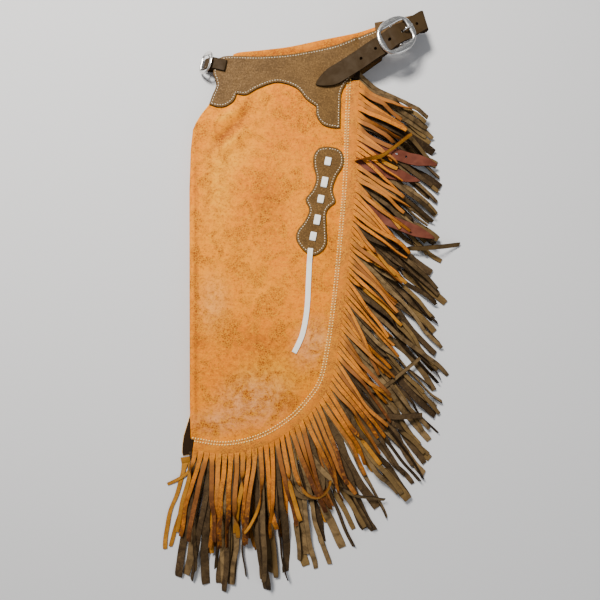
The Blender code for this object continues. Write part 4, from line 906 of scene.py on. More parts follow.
def bent(spots, halves):
    """Stations of a strap through spots, each with its half-width vector."""
    stations = []
    for index, (spot, half) in enumerate(zip(spots, halves)):
        before, after = neighbours(spots, index)
        stations.append((spot, half, (after - before).cross(half).normalized()))
    return stations


def strap(name, stations, thickness, finishes, nodes=(), groove=0.0):
    """A strap through stations, each a middle, a half-width vector and a face normal."""
    bm = bmesh.new()
    widest = max(half.length for _, half, _ in stations)
    pattern = section(widest, thickness / 2.0, groove)
    rings = []
    for middle, half, normal in stations:
        share = half.length / widest
        side = half.normalized()
        rings.append([bm.verts.new(middle + side * a * share + normal * b) for a, b, _ in pattern])
    loft(bm, rings, [row[2] for row in pattern])
    return piece(name, bm, finishes, nodes)


def punch(item, spots, radius, stretch=1.0, towards=(1.0, 0.0), sides=20):
    """Cut upright round or long holes through a strap."""
    first = Vector((*towards, 0.0))
    second = UP.cross(first)
    item.modifiers.clear()
    for spot in spots:
        bm = bmesh.new()
        rings = [[bm.verts.new((spot + UP * height + (first * c * stretch + second * s) * radius) * MM)
                  for c, s in circle(sides)] for height in (-5.0, 5.0)]
        loft(bm, rings, [CUT] * sides)
        cutter = placed("punch", mesh_from("punch", bm, item.data.materials))
        cut = item.modifiers.new("hole", "BOOLEAN")
        cut.object = cutter
        graph = bpy.context.evaluated_depsgraph_get()
        mesh = bpy.data.meshes.new_from_object(item.evaluated_get(graph))
        item.modifiers.clear()
        item.data = mesh
        bpy.data.objects.remove(cutter)
    even_shading(item)


def wire_rings(bm, points, radii, sides, across):
    """Rings of a bent round wire in the plane that across stands on."""
    rings = []
    for index, point in enumerate(points):
        before, after = neighbours(points, index)
        normal = (after - before).cross(across).normalized()
        rings.append([bm.verts.new(point + (across * c + normal * s) * radii[index]) for c, s in circle(sides)])
    return rings


# Sewing

# A stitch from end to end: share of its length, size, and how far it stands up
STITCH_SPAN = (0.18, 0.76)
STITCH_SIDES = 6
STITCH_RINGS = [(0.0, 0.45, -0.75), (0.14, 0.9, 0.0), (0.5, 1.0, 0.35), (0.86, 0.9, 0.0), (1.0, 0.45, -0.75)]


def sew(name, seams, pitch, radius, finish):
    """Rows of stitches along seams, each a line of points; the height is read at each place."""
    bm = bmesh.new()
    for line, height in seams:
        line = np.array(line)
        lengths = run_lengths(line)
        for number in range(int(lengths[-1] / pitch)):
            start, end = (along_line(line, lengths, (number + share) * pitch) for share in STITCH_SPAN)
            run = end - start
            side = Vector((-run[1], run[0], 0.0)).normalized()
            rings = []
            for share, size, rise in STITCH_RINGS:
                x, y = start + run * share
                middle = Vector((x, y, height(x, y) + rise * radius))
                rings.append([bm.verts.new(middle + (side * c + UP * s) * radius * size)
                              for c, s in circle(STITCH_SIDES)])
            skin(bm, rings, [0] * STITCH_SIDES)
    bmesh.ops.recalc_face_normals(bm, faces=bm.faces)
    return piece(name, bm, [finish], even=False)


def inset_line(outline, amount):
    """A closed line that far inside an outline, and as smooth as it."""
    points = np.array(outline)
    following = np.roll(points, -1, axis=0)
    area = (points[:, 0] * following[:, 1] - points[:, 1] * following[:, 0]).sum()
    sign = 1.0 if area > 0.0 else -1.0
    line = []
    for before, here, after in zip(np.roll(points, 1, axis=0), points, following):
        run = after - before
        run = run / np.linalg.norm(run)
        spot = here + np.array([-run[1], run[0]]) * amount * sign
        if not line or math.dist(spot, line[-1]) > 1.5:
            line.append(spot)
    return [tuple(spot) for spot in line] + [tuple(line[0])]


# The legs

STITCH_INSET = 8.0


def make_legs():
    rolled_width = math.pi * FOLD_RADIUS + FOLD_RETURN
    left = FOLD_LINE[0][1] + FOLD_RADIUS - rolled_width
    right = [tuple(TOP_EDGE.offset(d, -STITCH_INSET)) for d in np.arange(0.0, TOP_EDGE.total, 6.0)]
    right.append(tuple(TOP_EDGE.offset(TOP_EDGE.total, -STITCH_INSET)))
    bottom = [(right[-1][0] - rolled_width * 0.4, right[-1][1] + 2.0), (left, right[-1][1] + 8.0)]
    side = [(left, 240.0), (left + rolled_width * 0.6, 270.0)]
    rise = [(-190.6, 285.0), (-184.0, 298.0), (-175.0, 311.0), (-164.6, 324.4), (-158.0, 342.2),
            (-149.0, 361.6), (-144.5, 376.0)]
    top = [(-35.3, 382.0), (62.0, 388.0)]
    outline = joined(right, bottom, side, curve_through(rise, 6.0), top)
    roll_end = FOLD_LINE[0][1] + LEG_WALL / 2.0 + FOLD_RADIUS + 4.0
    near = panel("near_leg", outline, rolled, LEG_WALL, 5.0, CARAMEL_SHELL, ["leg_panel"],
                 fine=[(left, roll_end, 1.6)], rim=1.1)

    under = [tuple(UNDER_EDGE.point(d)) for d in np.arange(0.0, UNDER_EDGE.total + 1.0, 8.0)]
    under = [point for point in under if point[1] < 329.0]
    lip = [(-213.6, -246.0), (-213.0, -233.0), (-210.8, -218.0), (-206.2, -203.0), (-201.0, -186.0),
           (-197.0, -160.0), (-197.0, 262.0), (-186.0, 296.0), (-168.0, 330.0)]
    outline = joined([(under[0][0], 330.0)], under, lip)
    # The far leg's grain side is coloured near-black as painted shadow under the top leg
    far = panel("far_leg", outline, level(lambda x, y: UNDER_MIDDLE), LEG_WALL, 18.0,
                looks("painted_fold_shadow", "caramel", "caramel_cut"), ["leg_panel_under"], rim=0.9)
    return near, far


# Below the top leg's leather, its creases and its turned-in edge
INNER_CLEARANCE = 4.1


def make_inner_layers():
    """The folded layers between the two legs, as three sheets with the same rounded outline."""
    outline = joined([tuple(TOP_EDGE.offset(d, -37.0)) for d in np.arange(6.0, TOP_EDGE.total - 36.0, 12.0)],
                     [(-168.0, -190.0), (-172.0, -180.0), (-172.0, 262.0), (-160.0, 300.0), (-146.0, 330.0),
                      (-142.0, 384.0)], [(-60.0, 386.0), (0.0, 390.0)])
    low = UNDER_MIDDLE + LEG_WALL / 2.0 + GAP + LEG_WALL / 2.0

    for number, share in enumerate((0.0, 0.5, 1.0), start=1):
        def height(x, y, share=share):
            slope = smooth(TOP_EDGE.inside(x, y) / HEM_SLOPE)
            high = HEM_MIDDLE + (LEG_MIDDLE - HEM_MIDDLE) * slope - LEG_WALL - INNER_CLEARANCE
            return low + (high - low) * share

        made = panel("inner_layer_%d" % number, outline, level(height), LEG_WALL, 14.0, CARAMEL_SHELL,
                     ["folded_layers"] if number == 1 else ())
        cloth(made)


def make_yokes():
    outline = joined(curve_through(YOKE_TOP, 8.0), YOKE_END, curve_through(YOKE_LOWER, 6.0),
                     curve_through(YOKE_TAB, 5.0), curve_through(YOKE_SCALLOP, 6.0),
                     curve_through(YOKE_LOBE, 5.0), curve_through(YOKE_LEFT, 8.0))
    near = panel("near_yoke", outline, level(yoke_middle), YOKE_WALL, 4.5, DARK_SHELL,
                 ["yoke"])
    cloth(near)
    yoke_seam = inset_line(outline, 3.4)

    lining_low = [(x, y - 7.0) for x, y in YOKE_TOP[2:-1]] + [(116.0, 429.0)]
    lining_edge = curve_through(LINING_TOP, 8.0)
    lining = joined([(-131.0, 391.8)], curve_through(lining_low, 8.0), list(reversed(lining_edge)))
    made = panel("yoke_facing", lining,
                 level(lambda x, y: YOKE_WALL + SEAM + LINING_WALL / 2.0 + under_lift(x)),
                 LINING_WALL, 5.0, CARAMEL_SHELL, ["yoke_lining"])
    cloth(made)

    inlay = 330.0 + GAP
    under_top = [(x - 1.0, y - 1.0) for x, y in lining_edge]
    outline = joined([(-168.0, inlay), (66.0, inlay), (58.0, 356.0), (84.0, 376.0), (115.0, 396.0)],
                     list(reversed(under_top)), [(-150.0, 398.0), (-160.0, 372.0), (-155.0, 352.0)])
    made = panel("far_yoke", outline, level(lambda x, y: UNDER_MIDDLE + under_lift(x)), YOKE_WALL, 8.0,
                 DARK_SHELL, ["yoke_under"])
    cloth(made)

    outline = curve_through(OVERLAY + [OVERLAY[0]], 4.0)[:-1]
    made = panel("thigh_piece", outline, level(yoke_middle), YOKE_WALL, 4.0, DARK_SHELL,
                 ["thigh_overlay"])
    cloth(made)
    return yoke_seam, inset_line(outline, 3.6)


def yoke_top(x, y):
    return yoke_middle(x, y) + YOKE_WALL / 2.0


def make_sewing(yoke_seam, thigh_seam):
    rows = []
    for inset in (STITCH_INSET - 2.5, STITCH_INSET + 2.5):
        line = [tuple(TOP_EDGE.offset(d, -inset)) for d in np.arange(2.0, TOP_EDGE.total + 2.0, 3.0)]
        rows.append((line, leg_top))
    hem = sew("hem_stitches", rows, 4.5, 1.05, LOOKS["hem_thread"])
    sew("yoke_stitches", [(yoke_seam, yoke_top), (thigh_seam, yoke_top)], 4.3, 0.62, LOOKS["yoke_thread"])
    return hem


# The lace through the thigh piece, and its free end

def make_lace_tail():
    line = curve_through(LACE_TAIL, 4.0)
    stations, path = [], []
    for index, (x, y) in enumerate(line):
        before, after = neighbours(line, index)
        along = Vector((after[0] - before[0], after[1] - before[1], 0.0)).normalized()
        raised = smooth((y - LACE_STEP[0]) / (LACE_STEP[1] - LACE_STEP[0]))
        under = leg_top(x, y) * (1.0 - raised) + yoke_top(x, y) * raised
        spot = Vector((x, y, under + SEAM + LACE_WALL / 2.0))
        stations.append((spot, UP.cross(along) * LACE_TAIL_HALF_WIDTH, UP))
        path.append(tuple(spot * MM))
    item = strap("lace_end", stations, LACE_WALL, LACE_SHELL, ["lace_tail"])


# A bit of lace from hole to hole: share of its half length, rise, and share of its width
LACE_BOW = [(-1.0, -1.6, 0.80), (-0.97, -0.4, 0.88), (-0.86, 0.35, 0.97), (-0.5, 0.55, 1.0), (0.0, 0.6, 1.0),
            (0.5, 0.55, 1.0), (0.86, 0.35, 0.97), (0.97, -0.4, 0.88), (1.0, -1.6, 0.80)]


def make_lace_bits():
    (x0, y0, _), (x1, y1, _) = LACE_BITS[0], LACE_BITS[-1]
    along = Vector((x1 - x0, y1 - y0, 0.0)).normalized()
    across = UP.cross(along) * LACE_HALF_WIDTH
    for number, (x, y, half_length) in enumerate(LACE_BITS, start=1):
        stations = []
        for share, rise, width in LACE_BOW:
            spot = Vector((x, y, 0.0)) + along * half_length * share
            spot.z = yoke_middle(spot.x, spot.y) + (YOKE_WALL + LACE_WALL) / 2.0 + GAP + rise
            stations.append((spot, across * width, UP))
        strap("lace_stitch_%d" % number, stations, LACE_WALL, LACE_SHELL,
              ["lace_bit_%d" % number])


# The belt

BILLET_RISE_START = 84.0
BILLET_RISE_LENGTH = 26.0


def billet_height(along):
    """Middle of the top strap: on the yoke, under the buckle's ends and over its bar."""
    sides = (-BELT_HALF_WIDTH, 0.0, BELT_HALF_WIDTH)
    below = [belt_point(along + step, side, 0.0) for step in (-7.0, 0.0, 7.0) for side in sides]
    on_yoke = max(yoke_middle(x, y) for x, y, _ in below) + (YOKE_WALL + BELT_WALL) / 2.0 + GAP
    low = BUCKLE_HEIGHT - FRAME_HALF_THICKNESS - GAP - 0.1 - BELT_WALL / 2.0
    high = BAR_HEIGHT + BAR_RADIUS + CHAPE_WALL + 3.0 * GAP + 0.2 + BELT_WALL / 2.0
    table = [(BUCKLE_AT - 33.0, low - 0.4), (BUCKLE_AT - 17.0, low), (BUCKLE_AT - 8.0, high - 0.7),
             (BUCKLE_AT, high), (BUCKLE_AT + 7.0, high - 0.7), (BUCKLE_AT + 16.5, low),
             (BUCKLE_AT + 31.0, low - 0.3), (BELT_LENGTH, low - 3.0)]
    share = smooth((along - BILLET_RISE_START) / BILLET_RISE_LENGTH)
    return on_yoke * (1.0 - share) + lookup(table, along) * share


# The pointed tip as (along, half width), and the stations of the full width behind it
BILLET_TIP = [(0.0, 0.8), (2.5, 3.2), (8.0, 6.8), (15.0, 10.2), (24.0, 13.4), (33.0, 15.0)]
BILLET_ALONG = (42.0, 62.0, 80.0, 96.0, 105.0, 114.0, 121.0, 128.0, 134.5, 139.0, 142.5, 146.5, 150.0, 156.0,
                162.5, 173.5, 184.0)
# A turn in radians counts as this many millimetres where the strap's path is divided
TURN_WEIGHT = 10.0


def make_billet():
    places = BILLET_TIP + [(a, BELT_HALF_WIDTH) for a in BILLET_ALONG]
    path = [(belt_point(a, 0.0, billet_height(a)), w, BELT_ANGLE + math.pi / 2.0) for a, w in places]
    start = belt_point(BELT_LENGTH - 2.0, 0.0, 0.0)
    low = billet_height(BELT_LENGTH - 4.0)
    out = Vector((math.sin(FOLD_ANGLE), -math.cos(FOLD_ANGLE), 0.0))
    skew = BELT_HALF_WIDTH / math.cos(FOLD_ANGLE - BELT_ANGLE - math.pi / 2.0)
    centre = Vector((start.x, start.y, low - STRAP_FOLD_RADIUS))
    for turn in range(0, 181, 15):
        angle = math.radians(turn)
        spot = centre + out * math.sin(angle) * STRAP_FOLD_RADIUS + UP * math.cos(angle) * STRAP_FOLD_RADIUS
        path.append((spot, skew, FOLD_ANGLE))
    back = Vector((math.cos(RETURN_ANGLE), math.sin(RETURN_ANGLE), 0.0))
    bottom = centre - UP * STRAP_FOLD_RADIUS
    lining_top = YOKE_WALL + GAP + LINING_WALL + GAP
    for share in (0.16, 0.36, 0.56, 0.76, 1.0):
        spot = bottom + back * RETURN_LENGTH * share
        rest = lining_top + under_lift(spot.x) + BELT_WALL / 2.0 + 0.5
        spot.z = bottom.z + (rest - bottom.z) * smooth(share * 1.25)
        path.append((spot, BELT_HALF_WIDTH, RETURN_ANGLE - math.pi / 2.0))
    rows = [(*spot, width, angle * TURN_WEIGHT) for spot, width, angle in path]
    spots, halves = [], []
    for x, y, z, width, turn in curve_through(rows, 3.0):
        angle = turn / TURN_WEIGHT
        spots.append(Vector((x, y, z)))
        halves.append(Vector((math.cos(angle), math.sin(angle), 0.0)) * width)
    item = strap("belt_billet", bent(spots, halves), BELT_WALL, BELT_SHELL, ["billet"], groove=0.3)
    punch(item, [belt_point(a, 0.0, billet_height(a)) for a in HOLES_AT], HOLE_RADIUS)
    punch(item, [belt_point(TONGUE_HOLE_AT, 0.0, billet_height(TONGUE_HOLE_AT))], HOLE_RADIUS, 1.9, BELT_ALONG)


def superellipse(cosine, sine, a, b, power):
    """Distance of a rounded oval's outline from its middle, in one direction."""
    return (abs(cosine / a) ** power + abs(sine / b) ** power) ** (-1.0 / power)


def buckle_frame(name, place, sizes, bar, segments, node):
    """A wide oval ring with a rounded top and a bar across its middle."""
    out_a, out_b, in_a, in_b, half = sizes
    bar_radius, bar_line = bar
    bm = bmesh.new()
    rings = []
    for c, s in circle(segments):
        inner = superellipse(c, s, in_a, in_b, 8.0)
        outer = superellipse(c, s, out_a, out_b, 2.25)
        ring = []
        for across, up in circle(16):
            size = superellipse(across, up, 1.0, 1.0, 2.5)
            r = (inner + outer) / 2.0 + (outer - inner) / 2.0 * size * across
            ring.append(bm.verts.new(place(r * c, r * s, half * size * up)))
        rings.append(ring)
    loft(bm, rings, [0] * 16, closed=True)
    along = place(1.0, 0.0, 0.0) - place(0.0, 0.0, 0.0)
    points = [place(0.0, across, up) for across, up in bar_line]
    loft(bm, wire_rings(bm, points, [bar_radius] * len(points), 14, along), [0] * 14)
    return piece(name, bm, STEEL, [node], even=False)


def make_belt_buckle():
    def place(along, across, up):
        spot = belt_point(BUCKLE_AT, 0.0, 0.0)
        shift = BELT_ALONG * along + BELT_ACROSS * across
        return Vector((spot.x + shift[0], spot.y + shift[1], BUCKLE_HEIGHT + up))

    sizes = (BUCKLE_HALF_LENGTH, BUCKLE_HALF_WIDTH, WINDOW_HALF_LENGTH, WINDOW_HALF_WIDTH,
             FRAME_HALF_THICKNESS)
    reach, drop = WINDOW_HALF_WIDTH + 4.0, BAR_HEIGHT - BUCKLE_HEIGHT
    bar = [(-reach, drop), (reach, drop)]
    buckle_frame("wide_buckle", place, sizes, (BAR_RADIUS, bar), 96, "belt_buckle")

    hole = billet_height(TONGUE_HOLE_AT)
    rest = BUCKLE_HEIGHT + FRAME_HALF_THICKNESS + GAP + TONGUE_RADIUS
    ring = BAR_RADIUS + 0.2 + TONGUE_RADIUS
    points = [(BUCKLE_AT + math.cos(a) * ring, BAR_HEIGHT + math.sin(a) * ring)
              for a in (math.radians(turn) for turn in range(60, 301, 20))]
    points += [(BUCKLE_AT + 5.0, BAR_HEIGHT - 2.4), (TONGUE_HOLE_AT - 3.6, hole - 3.2),
               (TONGUE_HOLE_AT - 1.6, hole - 1.7), (TONGUE_HOLE_AT + 1.4, hole + 1.7),
               (TONGUE_HOLE_AT + 4.4, rest - 0.5), (BUCKLE_AT + 20.5, rest + 0.1), (BUCKLE_AT + 29.0, rest)]
    line = [belt_point(a, 0.0, z) for a, z in curve_through(points, 1.2)]
    radii = [TONGUE_RADIUS] * len(line)
    for back, share in enumerate((0.35, 0.62, 0.8, 0.9, 0.96), start=1):
        radii[-back] = TONGUE_RADIUS * share
    bm = bmesh.new()
    loft(bm, wire_rings(bm, line, radii, 12, BELT_SIDE), [0] * 12)
    piece("wide_buckle_tongue", bm, STEEL, ["belt_tongue"], even=False)


CHAPE_SHIFT = -3.0
CHAPE_HALF_WIDTH = 11.5


def make_chape():
    """The loop that holds the buckle: from under the yoke's end, round the bar and back."""
    loop = BAR_RADIUS + GAP + 0.1 + CHAPE_WALL / 2.0
    under_yoke = YOKE_WALL / 2.0 + 2.0 * GAP + 0.3 + CHAPE_WALL / 2.0
    path = []
    for along in (98.0, 108.0, 118.0):
        over = [belt_point(along + step, side, 0.0)
                for step in (-8.0, 0.0, 8.0) for side in (-14.0, -3.0, 8.0)]
        path.append((along, min(yoke_middle(x, y) for x, y, _ in over) - under_yoke))
    path.append((127.0, BAR_HEIGHT - loop - 2.2))
    path += [(BUCKLE_AT + math.sin(a) * loop, BAR_HEIGHT - math.cos(a) * loop)
             for a in (math.radians(turn) for turn in range(0, 217, 18))]
    path.append((BUCKLE_AT - 7.0, BAR_HEIGHT - 0.2))
    spots = [belt_point(a, CHAPE_SHIFT, z) for a, z in curve_through(path, 2.0)]
    halves = [BELT_SIDE * -CHAPE_HALF_WIDTH] * len(spots)
    strap("buckle_loop", bent(spots, halves), CHAPE_WALL, DARK_SHELL, ["buckle_chape"])


def make_front_strap():
    """A strap from the top yoke round to the far one, with the buckle on its shoulder."""
    run = Vector((math.cos(FRONT_TURN), math.sin(FRONT_TURN), 0.0))
    side = UP.cross(run)

    def spot_at(x, z):
        return Vector((*FRONT_AT, z)) + run * (x - FRONT_AT[0])

    top = yoke_middle(-150.0, 384.0) + (YOKE_WALL + FRONT_WALL) / 2.0 + GAP + 0.2
    low = UNDER_MIDDLE + YOKE_WALL / 2.0 + GAP + FRONT_WALL / 2.0 + 0.2
    path = [(-138.0, top), (-150.0, top), (-160.5, top), (-165.5, top - 3.0), (-175.0, top - 12.5)]
    path += [(-175.5, low + 3.2), (-173.0, low + 0.8), (-168.0, low), (-152.0, low)]
    start, end = spot_at(*path[3]), spot_at(*path[4])
    spots = [spot_at(x, z) for x, z in curve_through(path, 2.0)]
    halves = [side * -FRONT_HALF_WIDTH] * len(spots)
    strap("front_billet", bent(spots, halves), FRONT_WALL, BELT_SHELL, ["front_strap"],
          groove=0.25)

    along = (end - start).normalized()
    out = side.cross(along).normalized()
    if out.x > 0.0:
        out = -out
    middle = (start + end) / 2.0 + out * (FRONT_WALL / 2.0 + GAP + FRONT_HALF_THICKNESS)

    def place(a, b, up):
        return middle + along * a + side * b + out * up

    drop = -(FRONT_HALF_THICKNESS + 2.0 * GAP + FRONT_WALL + FRONT_BAR_RADIUS)
    bar = [(-14.5, 0.2), (-12.5, drop * 0.45), (-10.6, drop), (10.6, drop), (12.5, drop * 0.45), (14.5, 0.2)]
    buckle_frame("narrow_buckle", place, (*FRONT_RING, *FRONT_WINDOW, FRONT_HALF_THICKNESS),
                 (FRONT_BAR_RADIUS, bar), 64, "front_buckle")


# The fringe: strips of strands, each strand laid on what lies there already

class Pile:
    """Height of all that has been laid, on a fine grid over the surface."""

    CELL = 1.0
    LOW = (-340.0, -540.0)
    SIZE = (680, 1020)

    def __init__(self):
        self.heights = np.zeros(self.SIZE)

    def top(self, points):
        index = np.round((points - np.array(self.LOW)) / self.CELL).astype(int)
        index = np.clip(index, 0, np.array(self.SIZE) - 1)
        return self.heights[index[:, 0], index[:, 1]]

    def mark(self, start, end, half_start, half_end, top_start, top_end):
        """Raise the cells under one length of strand, a little wider than it is."""
        corners = np.array([start - half_start, end - half_end, end + half_end, start + half_start])
        low = np.floor((corners.min(axis=0) - 1.0 - self.LOW) / self.CELL).astype(int)
        high = np.ceil((corners.max(axis=0) + 1.0 - self.LOW) / self.CELL).astype(int)
        xs = np.arange(low[0], high[0] + 1)
        ys = np.arange(low[1], high[1] + 1)
        cells = np.stack(np.meshgrid(xs, ys, indexing="ij"), axis=-1) * self.CELL + np.array(self.LOW)
        run = end - start
        length = float(np.linalg.norm(run))
        half = (half_start + half_end) / 2.0
        width = float(np.linalg.norm(half))
        area = run[0] * half[1] - run[1] * half[0]
        if abs(area) < 1e-6:
            return
        away = cells - start
        share = (away[..., 0] * half[1] - away[..., 1] * half[0]) / area
        across = (run[0] * away[..., 1] - run[1] * away[..., 0]) / area
        inside = (share > -0.6 / length) & (share < 1.0 + 0.6 / length) & (np.abs(across) < 1.0 + 0.3 / width)
        heights = top_start + (top_end - top_start) * np.clip(share, 0.0, 1.0)
        window = self.heights[xs[0]:xs[-1] + 1, ys[0]:ys[-1] + 1]
        window[inside] = np.maximum(window[inside], heights[inside])


PILE = Pile()
RING_STEP = 6.5
STILL_LENGTH = 20.0
DROOP_LENGTH = 48.0
STEEPEST = 0.45
# How dark the leather is outside the stitching, at least: painted shade for the seam's groove, laid on all of the
# fringe
ROOT_DARK = 0.5


def settle(centres, sides, tilts, first, thickness):
    """Heights of a strand's rings: as low as stiff leather can lie on the pile below."""
    clear = thickness / 2.0 + 0.12
    last = len(centres) - 1
    needs = []
    for index, centre in enumerate(centres):
        ahead = (centres[min(index + 1, last)] - centres[max(index - 1, 0)]) / 5.0
        points = np.array([centre + sides[index] * a + ahead * b for a in (-1.0, -0.5, 0.0, 0.5, 1.0)
                           for b in (-1.0, 0.0, 1.0)])
        needs.append(float(PILE.top(points).max()) + clear + tilts[index])
    heights = np.array(needs)
    steps = [float(np.linalg.norm(b - a)) for a, b in zip(centres, centres[1:])]
    heights[0] = first
    for index in range(1, last + 1):
        heights[index] = max(heights[index], heights[index - 1] - STEEPEST * steps[index - 1])
    for index in range(last - 1, 0, -1):
        heights[index] = max(heights[index], heights[index + 1] - STEEPEST * steps[index])
    for _ in range(2):
        eased = heights.copy()
        eased[1:-1] = (heights[:-2] + 2.0 * heights[1:-1] + heights[2:]) / 4.0
        heights = np.maximum(eased, np.array(needs) - 0.3)
        heights[0] = first
    return heights


def mark_strand(centres, sides, heights, tilts, thickness):
    for index in range(len(centres) - 1):
        PILE.mark(centres[index], centres[index + 1], sides[index], sides[index + 1],
                  heights[index] + thickness / 2.0 + tilts[index],
                  heights[index + 1] + thickness / 2.0 + tilts[index + 1])


STRAND_SECTION = [(1, 1, 0.0), (-1, 1, 0.0), (-1, 1, 1.0), (-1, -1, 1.0), (-1, -1, 0.0), (1, -1, 0.0), (1, -1, 1.0),
                  (1, 1, 1.0)]
STRAND_FINISHES = [0, 2, 2, 2, 1, 2, 2, 2]


def strand_ring(bm, middle, width, normal, half_width, half_thickness):
    """Eight corners of a strand's section: each of its four corners cut at 45 degrees."""
    corner = min(0.4, half_width * 0.4)
    ring = []
    for a, b, low in STRAND_SECTION:
        across = a * (half_width - corner * (1.0 - low))
        up = b * (half_thickness - corner * low)
        ring.append(bm.verts.new(middle + width * across + normal * up))
    return ring


def clump_leans(fringe, draw):
    """Degrees that each strand leans: a few neighbours close up, and clump parts from clump."""
    leans = []
    while len(leans) < fringe.count:
        size = draw.randint(2, 5)
        whole = draw.uniform(-CLUMP_SWAY, CLUMP_SWAY) * fringe.curl
        pull = draw.uniform(0.4, 1.0) * CLUMP_PULL * fringe.curl
        leans += [whole + pull * (number - (size - 1) / 2.0) for number in range(size)]
    return leans[:fringe.count]


def make_fringe(fringe, edge, lifted, name, finishes, flips, burnt=0.0, fill=0.88, rolls_over=0.42):
    """One strip with all its strands: the strip is flat, and each strand its own ribbon."""
    draw = random.Random(fringe.seed)
    fine = random.Random(fringe.seed + 100)
    first = edge.total * fringe.first
    pitch = edge.total * (fringe.last - fringe.first) / fringe.count
    half = STRAND_WALL / 2.0

    def height(spot):
        lift = belt_lift(spot[0], spot[1]) if lifted else 0.0
        if fringe.name == CARAMEL.name:
            return leg_middle(spot[0], spot[1])
        return fringe.middle + lift

    strands = []
    leans = clump_leans(fringe, draw)
    for number, lean in enumerate(leans):
        middle = first + (number + 0.5) * pitch
        share = middle / edge.total
        turn = draw.uniform(-1.0, 1.0) * fringe.curl * (CORNER_TURN if share > CORNER_SHARE else 1.0)
        strands.append({
            "middle": middle,
            "bends": [(0.04, 0.0), (0.25, lean), (0.60, lean * 0.5 + turn * 0.5), (1.0, lean * 0.2 + turn)],
            "length": fringe.length * lookup(fringe.lengths, share) * draw.uniform(0.90, 1.06),
            "heading": lookup(HEADINGS, share),
            "flip": None,
        })
    for stray in STRAYS:
        if stray.fringe == fringe.name:
            strand = strands[min(int(stray.share * fringe.count), fringe.count - 1)]
            strand["bends"], strand["length"], strand["flip"] = stray.bends, stray.length, stray.flip

    bm = bmesh.new()
    tone, reach_mark, burnt_mark, pale, dark = (bm.verts.layers.float.new(mark)
                                                for mark in ("tone", "reach", "burnt", "pale", "dark"))
    # The strip: a band of leather from its inner edge to the roots of the strands
    offsets = [fringe.inner, (fringe.inner + fringe.outer) / 2.0, fringe.outer]
    bands = []
    for border in range(fringe.count + 1):
        column = []
        for offset in offsets:
            spot = edge.offset(first + border * pitch, offset)
            z = height(spot)
            column.append((bm.verts.new((spot[0], spot[1], z + half)), bm.verts.new((spot[0], spot[1], z - half))))
            for vert in column[-1]:
                # The strips under the top leg get full tone: painted shade where the top leg covers them
                vert[tone] = 0.0 if fringe.name == CARAMEL.name else 1.0
        bands.append(column)
    for a, b in zip(bands, bands[1:]):
        for row in range(len(offsets) - 1):
            bm.faces.new([a[row][0], b[row][0], b[row + 1][0], a[row + 1][0]]).material_index = 0
            bm.faces.new([a[row + 1][1], b[row + 1][1], b[row][1], a[row][1]]).material_index = 1
        bm.faces.new([a[0][0], a[0][1], b[0][1], b[0][0]]).material_index = 2
        bm.faces.new([a[-1][0], b[-1][0], b[-1][1], a[-1][1]]).material_index = 2
    for column, order in ((bands[0], 1), (bands[-1], -1)):
        for row in range(len(offsets) - 1):
            corners = [column[row][0], column[row + 1][0], column[row + 1][1], column[row][1]]
            bm.faces.new(corners[::order]).material_index = 2

    order = draw.sample(range(fringe.count), fringe.count)
    order.sort(key=lambda number: strands[number]["flip"] is not None)
    for number in order:
        strand = strands[number]
        left = edge.offset(strand["middle"] - pitch / 2.0, fringe.outer)
        right = edge.offset(strand["middle"] + pitch / 2.0, fringe.outer)
        root = (left + right) / 2.0
        along_edge = right - left
        root_half = float(np.linalg.norm(along_edge)) / 2.0 - 0.06
        tangent = along_edge / np.linalg.norm(along_edge)
        length = strand["length"]
        count = max(8, round(length / RING_STEP))
        phase, second = fine.uniform(0.0, 6.28), fine.uniform(0.0, 6.28)
        wander = fine.uniform(2.0, 8.0) if strand["flip"] is None else 0.0
        flip_at = fine.uniform(0.22, 0.75)
        flip_over = fine.uniform(16.0, 45.0)
        slit = fine.uniform(0.0, 13.0)
        chance = fine.random()
        if chance < flips:
            roll = math.pi * fine.choice((-1.0, 1.0))
        elif chance < flips + rolls_over:
            roll = math.radians(fine.uniform(35.0, 78.0)) * fine.choice((-1.0, 1.0))
            flip_over *= 2.0
        else:
            roll = math.radians(fine.uniform(-36.0, 36.0))
        if strand["flip"] is not None:
            flip_at, roll = strand["flip"], 2.5
        strand_tone = fine.random()
        strand_burnt = burnt * fine.uniform(0.4, 1.0) * lookup(BURNING, strand["middle"] / edge.total)

        position = np.array(root)
        centres, widths, rolls, shares = [], [], [], []
        for index in range(count + 1):
            travelled = length * index / count
            share = travelled / length
            bend = lookup(strand["bends"], share)
            free = smooth((travelled - STILL_LENGTH) / 60.0)
            bend += wander * free * (math.sin(travelled / 21.0 + phase) + 0.6 * math.sin(travelled / 9.0 + second))
            angle = math.radians(strand["heading"] + bend)
            if index:
                position = position + np.array([math.cos(angle), math.sin(angle)]) * length / count
            square = np.array([math.sin(angle), -math.cos(angle)])
            if index == 0 and float(np.dot(square, tangent)) < 0.0:
                strand["mirror"] = -1.0
            square = square * strand.get("mirror", 1.0)
            turned = smooth((travelled - 4.0) / 50.0)
            side = tangent * (1.0 - turned) + square * turned
            side = side / np.linalg.norm(side)
            narrow = max(0.70, abs(float(np.dot(square, tangent))))
            width = root_half * (1.0 - (1.0 - fill) * smooth((travelled - slit) / 6.0))
            width *= 1.0 - (1.0 - narrow) * turned
            centres.append(position.copy())
            widths.append((side, width))
            rolls.append(roll * smooth((travelled - flip_at * length + flip_over / 2.0) / flip_over))
            shares.append(share)
        sides = [side * (width * abs(math.cos(r)) + half * abs(math.sin(r))) for (side, width), r in zip(widths, rolls)]
        tilts = [width * abs(math.sin(r)) * 0.8 for (_, width), r in zip(widths, rolls)]
        heights = settle(centres, sides, tilts, height(root), STRAND_WALL)
        mark_strand(centres, sides, heights, tilts, STRAND_WALL)

